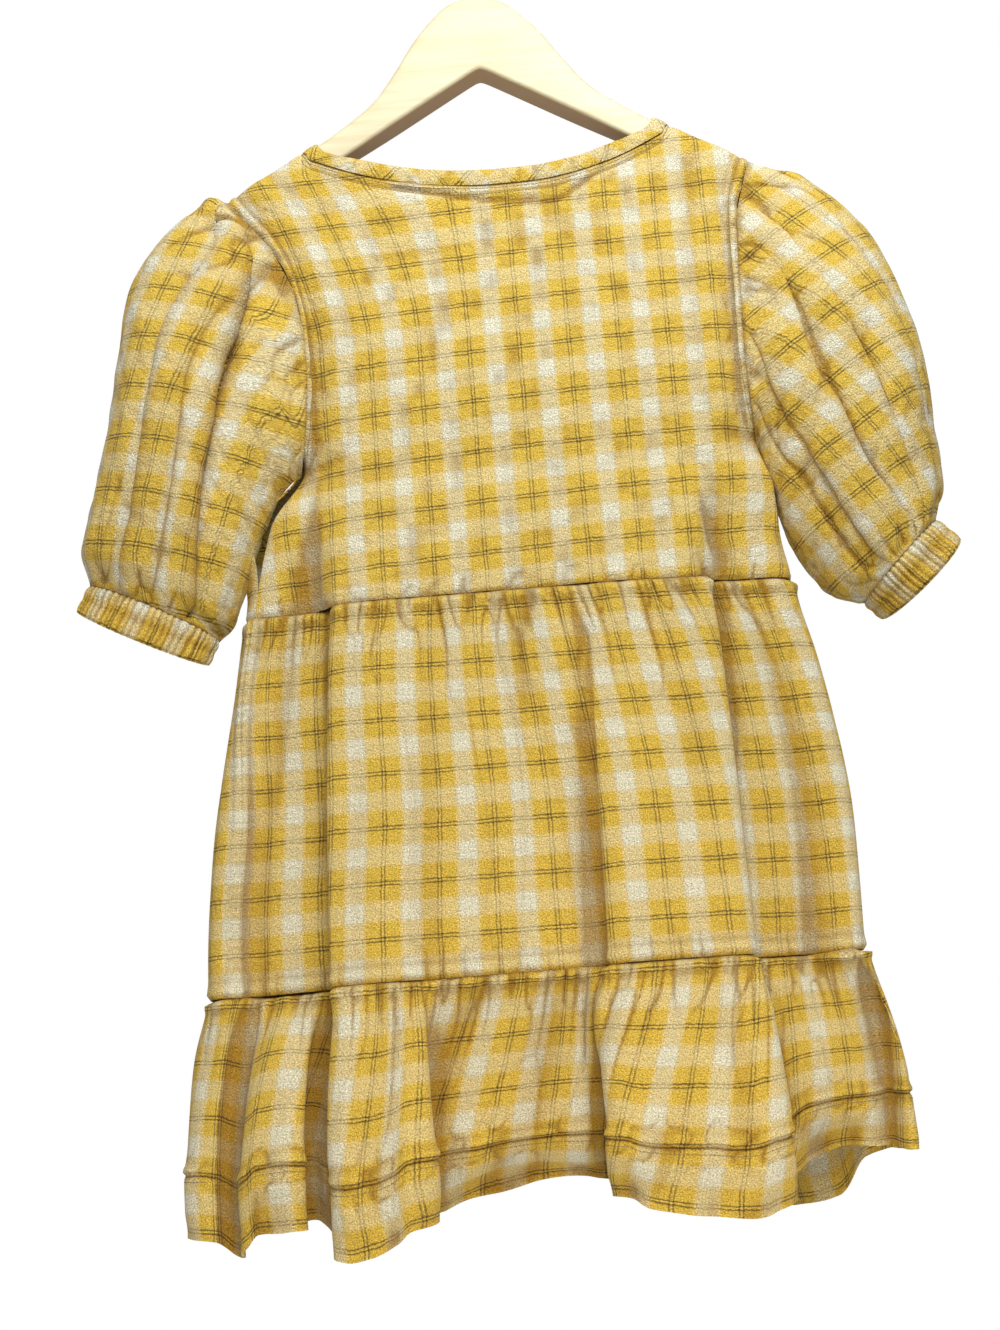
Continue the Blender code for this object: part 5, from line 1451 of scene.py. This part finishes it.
def make_middle_tier(side, cloth):
    way = -1.0 if side == "back" else 1.0
    width, length = FLAT["middle_tier"]
    middle = (WAIST_Z + TIER_Z) / 2
    count = MIDDLE_TIER_ACROSS[side]
    shares = even_shares(side, lambda turns: body_row(turns, middle), level_at(middle), count)
    steps = spaced((0.0, MIDDLE_TIER_GATHERED, length), MIDDLE_TIER_DOWN)
    levels = WAIST_Z - HALF_SEAM - steps * (WAIST_Z - TIER_Z - 2 * HALF_SEAM) / length
    grid = np.array([body_row(panel_turns(side, shares, level_at(z)), z) for z in levels])
    u = evenly(grid, width)
    v = np.broadcast_to(steps[:, None] * TIER_EASE, grid.shape[:2])
    from_left, from_side = from_sides(grid)
    from_foot = steps[-1] - v / TIER_EASE
    height = gathers(cloth, u, v, TIER_SEED[side])
    pucker = puckered(TIER_HEAD_PUCKER, u, v)
    height += uneven_ridge(TIER_HEAD_ROLL, TIER_HEAD_ROLL_PUCKER, pucker, v) + ridges(TIER_HEAD_SINK, v)
    height += puckered(TIER_FOOT_PUCKER, u, v) * np.exp(-from_foot / TIER_FOOT_PUCKER_FADE)
    height = (height + ridges(TIER_FOOT_ROLLS, from_foot)) * smooth(from_side / SIDE_EASE)
    strands = 1.0 + ROPE_DEPTH * np.sin(v * 2 * math.pi / ROPE_PITCH)
    height += ridges(ROPE, from_left) * strands + ridges(ROPE_SINK, from_side)
    dark = ridges(TIER_HEAD_SHADE, v) + ridges(TIER_FOOT_SHADE, from_foot)
    dark += gather_shade(u, v, TIER_SEED[side])
    chart = np.stack((u + drawn_up(u, v, TIER_DRAW_SEED), v + TIER_CHECK_DOWN), axis=-1)
    name = "middle_tier_" + side
    piece = cloth_piece(name + "_cloth", raised(grid, way, height), chart, way, cloth, dark=dark)
    declare(piece, name)
    return piece


def ruffle_grid(turns, lengths):
    """The ruffle's columns: each drops by what its sideways travel leaves of its length."""
    top = body_row(turns, TIER_Z)
    low = hem_row(turns)
    x, y = outline(HEM_LEVEL, turns)
    near = np.sin(turns) > 0
    fade = smooth(np.minimum(x - HEM_LEVEL.left, HEM_LEVEL.right - x) / EDGE_FADE["body"])
    curl = np.where(near, curve([(row.x, row.depth) for row in HEM_CURLS], x), -FRONT_CURL) * fade
    lift = curve([(row.x, row.lift) for row in HEM_CURLS], x)
    by_edge = 1 - smooth(np.abs(y) / RUFFLE_EDGE_DEPTH)
    lift = np.where(near, lift, mix(curve(FRONT_LIFTS, x), lift, by_edge))
    drop = 1.0 - lift / RUFFLE_LENGTH
    z = np.full_like(turns, TIER_Z - HALF_SEAM)
    rows, last, last_s = [], None, 0.0
    right, right_from, right_width = RUFFLE_FLARE_RIGHT
    left, left_from, left_width = RUFFLE_FLARE_LEFT
    flare = RUFFLE_FLARE + right * smooth((x - right_from) / right_width)
    flare = flare + left * smooth((left_from - x) / left_width)
    for s in lengths:
        share = 1.0 - (1.0 - s / RUFFLE_LENGTH) ** flare
        plan = mix(top[:, :2], low[:, :2], share[:, None])
        inward = float(smooth((s - CURL_START) / (RUFFLE_LENGTH - CURL_START)))
        plan[:, 1] += curl * inward * inward
        if last is not None:
            travel = np.linalg.norm(plan - last, axis=1)
            length = s - last_s
            z = z - drop * np.sqrt(np.maximum(length ** 2 - travel ** 2, (LEAST_DROP * length) ** 2))
        rows.append(np.column_stack((plan, z)))
        last, last_s = plan, s
    return np.array(rows)


def ruffle_relief(side, grid, u, v, from_foot, from_tuck):
    """The ruffle's relief below its gathers: its head, the hem's tuck, its waves and crowded pleats."""
    pucker = puckered(RUFFLE_HEAD_PUCKER, u, v)
    height = uneven_ridge(RUFFLE_HEAD_ROLL, RUFFLE_HEAD_ROLL_PUCKER, pucker, v) + ridges(RUFFLE_HEAD_SINK, v)
    pucker = puckered(TUCK_PUCKER, u, v)
    height += uneven_ridge(TUCK_RIDGE, TUCK_RIDGE_PUCKER, pucker, from_tuck) * (from_tuck > TUCK_EDGE)
    height -= uneven_ridge(TUCK_GROOVE, TUCK_GROOVE_PUCKER, pucker, from_tuck)
    height += pucker * ridges(TUCK_SPREAD, from_tuck)
    height += rolling(RUFFLE_DRAPE, u, v) * smooth(v / RUFFLE_DRAPE_START)
    height += rolling(HEM_CRUMPLE, u, v) * smooth(1 - from_tuck / HEM_CRUMPLE_START)
    height += rolling(HEM_EDGE_CRUMPLE, u, v) * smooth(1 - from_foot / HEM_EDGE_CRUMPLE_REACH)
    if side == "back":
        pleats = puckered(PLEATS, u, v) * np.clip(1 - v / PLEAT_LENGTH, 0.0, 1.0) * smooth(v / PLEAT_START)
        for place in PLEAT_GROUPS:
            height += pleats * bump(grid[..., 0] - place, PLEAT_GROUP_WIDTH)
    return height


def make_bottom_tier(side, cloth):
    way = -1.0 if side == "back" else 1.0
    tier = level_at(TIER_Z)
    count = BOTTOM_TIER_ACROSS[side]
    shares = even_shares(side, lambda turns: (body_row(turns, TIER_Z) + hem_row(turns)) / 2, tier, count)
    steps = spaced((0.0, BOTTOM_TIER_GATHERED, RUFFLE_LENGTH), BOTTOM_TIER_DOWN)
    grid = ruffle_grid(panel_turns(side, shares, tier), steps)
    u = evenly(grid, FLAT["bottom_tier"][0])
    v = np.broadcast_to(steps[:, None], grid.shape[:2])
    from_side = from_sides(grid)[1]
    from_foot = RUFFLE_LENGTH - v
    from_tuck = from_foot - from_foot[nearest(steps, RUFFLE_LENGTH - HEM_DEPTH)]
    height = gathers(cloth, u, v, RUFFLE_SEED[side]) * smooth(from_foot / RUFFLE_GATHERS_END)
    height += ruffle_relief(side, grid, u, v, from_foot, from_tuck)
    grid = raised(grid, way, height * smooth(from_side / SIDE_EASE))
    grid[..., 2] += rolling(HEM_EDGE_WAVE, u, 0.0) * smooth(1 - from_foot / HEM_EDGE_WAVE_REACH)
    dark = ridges(RUFFLE_HEAD_SHADE, v) + ridges(TUCK_SHADE, from_tuck)
    dark += gather_shade(u, v, RUFFLE_SEED[side])
    chart = np.stack((u + drawn_up(u, v, RUFFLE_DRAW_SEED), v + RUFFLE_CHECK_DOWN), axis=-1)
    thickness = np.where(steps > RUFFLE_LENGTH - HEM_DEPTH, cloth.thickness * HEM_THICKER, cloth.thickness)
    name = "bottom_tier_" + side
    piece = cloth_piece(name + "_cloth", grid, chart, way, cloth, thickness, dark=dark)
    declare(piece, name)
    row = nearest(steps, RUFFLE_LENGTH - HEM_DEPTH + TUCK_STITCHES_BELOW)
    sew(name + "_stitches", [grid_line(grid, way, row, slice(3, -3))], cloth)
    return piece


# How the check lies on each sleeve: the way of its warp from the upright, inside and outside
SLEEVE_GRAIN = {"left": (-16.0, -16.0), "right": (22.0, 42.0)}


def sleeve_chart(hand, grid):
    """The flat places of a sleeve's cloth, unrolled from its outer line along the grain."""
    columns = grid.shape[1]
    inside, outside = SLEEVE_GRAIN[hand]
    angle = math.radians((inside + outside) / 2)
    down = np.array((math.sin(angle), -math.cos(angle)))
    across = np.array((math.cos(angle), math.sin(angle)))
    plan = grid[..., (0, 2)]
    u, v = plan @ across, plan @ down
    closed = np.concatenate((grid, grid[:, :1]), axis=1)
    u, v = (np.concatenate((part, part[:, :1]), axis=1) for part in (u, v))
    depth = np.diff(closed[..., 1], axis=1)
    step = np.hypot(np.diff(u, axis=1), depth)
    middle = columns // 2
    length = np.concatenate((np.zeros((len(grid), 1)), np.cumsum(step, axis=1)), axis=1)
    side = -1.0 if hand == "right" else 1.0
    chart_u = u[:, middle:middle + 1] + side * (length - length[:, middle:middle + 1])
    return np.stack((chart_u, v), axis=-1)


def over_arm(turn):
    """How full the head's gathers are: full over the arm, fewer under it."""
    return mix(GATHERS_UNDER_ARM, 1.0, smooth((np.cos(turn) - OVER_ARM[0]) / OVER_ARM[1]))


def sleeve_relief(hand, turn, t):
    """The gathers at a sleeve's two ends, its puff and its unevenness."""
    seed = SLEEVE_SEED[hand]
    to_cuff = 1 - t
    head = puckered(HEAD_GATHERS, turn, t, seed) * np.exp(-t / HEAD_GATHERS_FADE)
    head += puckered(HEAD_TUBES, turn, t, seed) * np.exp(-t / HEAD_TUBES_FADE)
    foot = puckered(FOOT_GATHERS, turn, to_cuff, seed) * np.exp(-to_cuff / FOOT_GATHERS_FADE)
    foot += puckered(FOOT_TUBES, turn, to_cuff, seed) * np.exp(-to_cuff / FOOT_TUBES_FADE)
    uneven = rolling(SLEEVE_DRAPE, turn, t, seed) + rolling(SLEEVE_CRUMPLE, turn, t, seed)
    ends = smooth(t / SLEEVE_END_EASE) * smooth(to_cuff / SLEEVE_END_EASE)
    height = (head * over_arm(turn) + foot + uneven) * ends
    puffed = smooth((np.cos(turn) - PUFF_ROUND[0]) / PUFF_ROUND[1])
    puffed = puffed * smooth(t / SLEEVE_PUFF_START[hand]) * smooth(to_cuff / PUFF_END)
    height += SLEEVE_PUFF[hand] * puffed
    if hand == "left":
        height += ridges(HEAD_TUFT, t) * smooth(t / HEAD_TUFT_START) * bump(turn, HEAD_TUFT_TURN)
    return height


def sleeve_shade(hand, turn, t):
    """The shadows along a sleeve's seams, between its gathers and in its long folds."""
    to_cuff = 1 - t
    between = creases(tubes(turn / HEAD_GATHERS.across, t / HEAD_GATHERS.down, SLEEVE_SEED[hand]))
    dark = ridges(HEAD_SHADE, t) + ridges(FOOT_SHADE, to_cuff)
    dark += HEAD_GATHERS_SHADE * between * np.exp(-t / HEAD_GATHERS_SHADE_FADE) * over_arm(turn)
    ends = smooth(t / FOLD_SHADE_FADE) * smooth(to_cuff / FOLD_SHADE_FADE)
    for fold in SLEEVE_FOLDS[hand]:
        middle = np.sign(fold.overlap) * FOLD_SHADE[0] * fold.width
        shadow = bump(from_fold(fold, t, turn) - middle, FOLD_SHADE[1] * fold.width)
        dark += min(1.0, SLEEVE_FOLD_SHADE[hand] * fold.depth) * shadow * ends
    return dark


def make_sleeve(hand, cloth):
    way = -1.0 if hand == "left" else 1.0
    turns = np.linspace(-math.pi, math.pi, SLEEVE_ROUND + 1)[:-1]
    rows = spaced(SLEEVE_STRETCHES, SLEEVE_DOWN)
    grid = np.array([sleeve_row(hand, t, turns) for t in rows])
    chart = sleeve_chart(hand, grid)
    t = np.broadcast_to(rows[:, None], grid.shape[:2])
    turn = np.broadcast_to(turns[None, :], grid.shape[:2])
    grid = raised(grid, way, sleeve_relief(hand, turn, t), True)
    if hand == "left":
        room = ridges(BODY_ROOM, np.degrees(turn)) * smooth(t / BODY_ROOM_START)
        grid[..., 0] -= room * smooth((BODY_ROOM_END[0] - t) / BODY_ROOM_END[1])
    name = "sleeve_" + hand
    dark = sleeve_shade(hand, turn, t)
    piece = cloth_piece(name + "_cloth", grid, chart, way, cloth, closed=True, dark=dark)
    declare(piece, name)
    return piece


def make_cuff(hand, cloth):
    """The elasticated cuff, gathered into uneven ribs between its two rows of stitching."""
    way = -1.0 if hand == "left" else 1.0
    turns = np.linspace(-math.pi, math.pi, CUFF_ROUND + 1)[:-1]
    ring = section_points(hand, 1.0, turns)
    steps = np.linspace(0.0, CUFF_HEIGHT, CUFF_DOWN + 1)
    slant = CUFF_DEPTH + CUFF_SLANT * np.sin(turns)
    grid = ring[None] + cuff_axis(hand)[None, None] * (steps[:, None] * slant)[..., None]
    length = distances(np.vstack((ring, ring[:1])))
    along = length[None, :-1]
    across = steps[:, None]
    rib = np.sin((along + rolling(RIB_WANDER, along, across)) * 2 * math.pi / RIB_PITCH)
    rib = rib * (RIB_STRENGTH + rolling(RIB_UNEVENNESS, along, 0.0))
    swell = np.sin(math.pi * across / CUFF_HEIGHT) ** 0.5
    height = RIB_HEIGHT * rib * mix(RIB_AT_EDGES, 1.0, swell) + CUFF_SWELL * swell
    grid = raised(grid, way, height + ridges(CUFF_GROOVES, across), True)
    flat_u = length * FLAT["cuff"][0] / length[-1]
    chart = np.stack(np.broadcast_arrays(flat_u[None, :], steps[:, None]), axis=-1)
    name = "cuff_" + hand
    piece = cloth_piece(name + "_cloth", grid, chart, way, cloth, closed=True)
    declare(piece, name)
    return piece


def make_binding(cloth):
    """The bias strip round the neck, rolled over its raw edge."""
    back, front = neck_edge("back"), neck_edge("front")
    loop = back[:-1] + [front[-1 - k] for k in range(len(front) - 1)]
    loop = loop + loop[:1]
    seats = np.array([tuple(point) for point, out, inward in loop])
    seats[np.abs(seats[:, 1]) < 0.001, 1] = 0.0
    outs = np.array([tuple(out) for point, out, inward in loop])
    ins = np.array([tuple(inward) for point, out, inward in loop])
    places = distances(seats)
    at = np.linspace(0.0, places[-1], BINDING_STEPS + 1)[:-1]
    seats, outs, ins = (resample(part, places, at, tight=True) for part in (seats, outs, ins))
    outs /= np.linalg.norm(outs, axis=1, keepdims=True)
    ins /= np.linalg.norm(ins, axis=1, keepdims=True)
    shares = np.linspace(0.0, 1.0, BINDING_ACROSS + 1)
    reach = mix(-BINDING_LAP, BINDING_WIDTH, shares)[:, None, None]
    along = np.append(at, places[-1])[None, :]
    across = (shares * BINDING_WIDTH)[:, None]
    crown = BINDING_LEAST + BINDING_CROWN * np.sin(math.pi * shares) ** BINDING_ROUND_POWER
    crown = crown[:, None] + rolling(BINDING_RIPPLE, along[:, :-1], across)
    grid = seats[None] + ins[None] * reach + outs[None] * crown[..., None]
    half = math.sqrt(0.5)
    chart = np.stack(np.broadcast_arrays((along + across) * half, (along - across) * half), axis=-1)
    piece = cloth_piece("neck_binding_cloth", grid, chart, 1.0, cloth, BINDING_THICKNESS, closed=True)
    declare(piece, "neck_binding")
    return piece


def make_hanger_wood(settings):
    """The wooden arms: an end face drawn out along the hanger, then its edges rounded."""
    sections = []
    for k in range(-HANGER_STATIONS, HANGER_STATIONS + 1):
        x = HANGER_HALF_LENGTH * math.sin(math.pi / 2 * (k / HANGER_STATIONS))
        top, under = hanger_top(x), hanger_under(x)
        from_end = HANGER_HALF_LENGTH - abs(x)
        close = mix(HANGER_TIP_SIZE, 1.0, math.sqrt(1 - (1 - min(1.0, from_end / HANGER_TIP)) ** 2))
        thin = float(smooth((abs(x) - HANGER_MIDDLE_HALF_WIDTH) / HANGER_THINNING_LENGTH))
        thick = mix(HANGER_MIDDLE_HALF_DEPTH, HANGER_HALF_DEPTH, thin)
        sections.append((x, (top + under) / 2, 2 * thick * close, (top - under) * close))
    bpy.ops.object.select_all(action="DESELECT")
    bpy.ops.mesh.primitive_plane_add(size=1.0, rotation=(0.0, math.pi / 2, 0.0))
    piece = bpy.context.active_object
    piece.name = "hanger_wood"
    bpy.ops.object.transform_apply(location=False, rotation=True, scale=False)
    bpy.ops.object.mode_set(mode="EDIT")
    bpy.ops.mesh.select_all(action="SELECT")
    x, middle, wide, tall = sections[0]
    bpy.ops.transform.resize(value=(1.0, wide, tall), center_override=(0.0, 0.0, 0.0))
    bpy.ops.transform.translate(value=(x, 0.0, middle))
    for before, after in zip(sections, sections[1:]):
        step = (after[0] - before[0], 0.0, after[1] - before[1])
        bpy.ops.mesh.extrude_region_move(TRANSFORM_OT_translate={"value": step})
        grow = (1.0, after[2] / before[2], after[3] / before[3])
        bpy.ops.transform.resize(value=grow, center_override=(after[0], 0.0, after[1]))
    bpy.ops.mesh.select_all(action="SELECT")
    bpy.ops.mesh.remove_doubles(threshold=0.000001)
    bpy.ops.mesh.normals_make_consistent(inside=False)
    bpy.ops.object.mode_set(mode="OBJECT")
    rounding = piece.modifiers.new("Rounded edges", "BEVEL")
    rounding.width = settings.edge
    rounding.segments = 4
    rounding.limit_method = "ANGLE"
    rounding.angle_limit = math.radians(50)
    bpy.ops.object.modifier_apply(modifier=rounding.name)
    bpy.ops.object.shade_smooth_by_angle(angle=math.radians(40))
    piece.data.materials.append(wood_material(settings))
    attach(piece, "root")
    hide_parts("hanger_body")
    return piece


class DRESS_OT_bodice(bpy.types.Operator):
    """Make the back and front of the bodice"""
    bl_idname = "dress.bodice"
    bl_label = "Bodice"

    def execute(self, context):
        for side in ("back", "front"):
            make_bodice(side, context.scene.dress_cloth)
        return {"FINISHED"}


class DRESS_OT_middle_tier(bpy.types.Operator):
    """Make the gathered tier below the waist"""
    bl_idname = "dress.middle_tier"
    bl_label = "Middle tier"

    def execute(self, context):
        for side in ("back", "front"):
            make_middle_tier(side, context.scene.dress_cloth)
        return {"FINISHED"}


class DRESS_OT_bottom_tier(bpy.types.Operator):
    """Make the ruffle with its turned hem"""
    bl_idname = "dress.bottom_tier"
    bl_label = "Bottom tier"

    def execute(self, context):
        for side in ("back", "front"):
            make_bottom_tier(side, context.scene.dress_cloth)
        return {"FINISHED"}


class DRESS_OT_sleeves(bpy.types.Operator):
    """Make both puff sleeves and their elasticated cuffs"""
    bl_idname = "dress.sleeves"
    bl_label = "Sleeves and cuffs"

    def execute(self, context):
        for hand in ("left", "right"):
            make_sleeve(hand, context.scene.dress_cloth)
            make_cuff(hand, context.scene.dress_cloth)
        return {"FINISHED"}


class DRESS_OT_neck_binding(bpy.types.Operator):
    """Make the bias strip round the neck"""
    bl_idname = "dress.neck_binding"
    bl_label = "Neck binding"

    def execute(self, context):
        make_binding(context.scene.dress_cloth)
        return {"FINISHED"}


class DRESS_OT_hanger(bpy.types.Operator):
    """Give the hanger its wood and the hook its steel"""
    bl_idname = "dress.hanger"
    bl_label = "Hanger"

    def execute(self, context):
        settings = context.scene.dress_hanger
        make_hanger_wood(settings)
        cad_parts["hanger_hook"].material_slots[0].material = steel_material(settings)
        return {"FINISHED"}


class DRESS_OT_stage(bpy.types.Operator):
    """Make the floor, the lights and the camera"""
    bl_idname = "dress.stage"
    bl_label = "Stage"

    def execute(self, context):
        scene = context.scene
        stage = scene.dress_stage
        add_floor(stage)
        add_backdrop(scene)
        add_lamp(KEY_LAMP, stage.key)
        add_lamp(TOP_LAMP, stage.top)
        add_lamp(LOW_LAMP, stage.low)
        add_camera(scene, stage)
        scene.view_settings.view_transform = "Standard"
        return {"FINISHED"}


class DRESS_PT_panel(bpy.types.Panel):
    bl_label = "Dress"
    bl_idname = "DRESS_PT_panel"
    bl_space_type = "VIEW_3D"
    bl_region_type = "UI"
    bl_category = "Dress"

    def draw(self, context):
        scene = context.scene
        for group in (scene.dress_cloth, scene.dress_hanger, scene.dress_stage):
            box = self.layout.box()
            for name in group.__annotations__:
                box.prop(group, name)
        for operator in OPERATORS:
            self.layout.operator(operator.bl_idname)


GROUPS = (
    ("dress_cloth", ClothSettings),
    ("dress_hanger", HangerSettings),
    ("dress_stage", StageSettings),
)
OPERATORS = (
    DRESS_OT_hanger,
    DRESS_OT_bodice,
    DRESS_OT_middle_tier,
    DRESS_OT_bottom_tier,
    DRESS_OT_sleeves,
    DRESS_OT_neck_binding,
    DRESS_OT_stage,
)


def register():
    for name, group in GROUPS:
        bpy.utils.register_class(group)
        setattr(bpy.types.Scene, name, PointerProperty(type=group))
    for kind in (*OPERATORS, DRESS_PT_panel):
        bpy.utils.register_class(kind)


def unregister():
    for kind in (DRESS_PT_panel, *reversed(OPERATORS)):
        bpy.utils.unregister_class(kind)
    for name, group in reversed(GROUPS):
        delattr(bpy.types.Scene, name)
        bpy.utils.unregister_class(group)


def main():
    register()
    bpy.ops.dress.hanger()
    bpy.ops.dress.bodice()
    bpy.ops.dress.middle_tier()
    bpy.ops.dress.bottom_tier()
    bpy.ops.dress.sleeves()
    bpy.ops.dress.neck_binding()
    bpy.ops.dress.stage()
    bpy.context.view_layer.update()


if __name__ == "__main__":
    main()
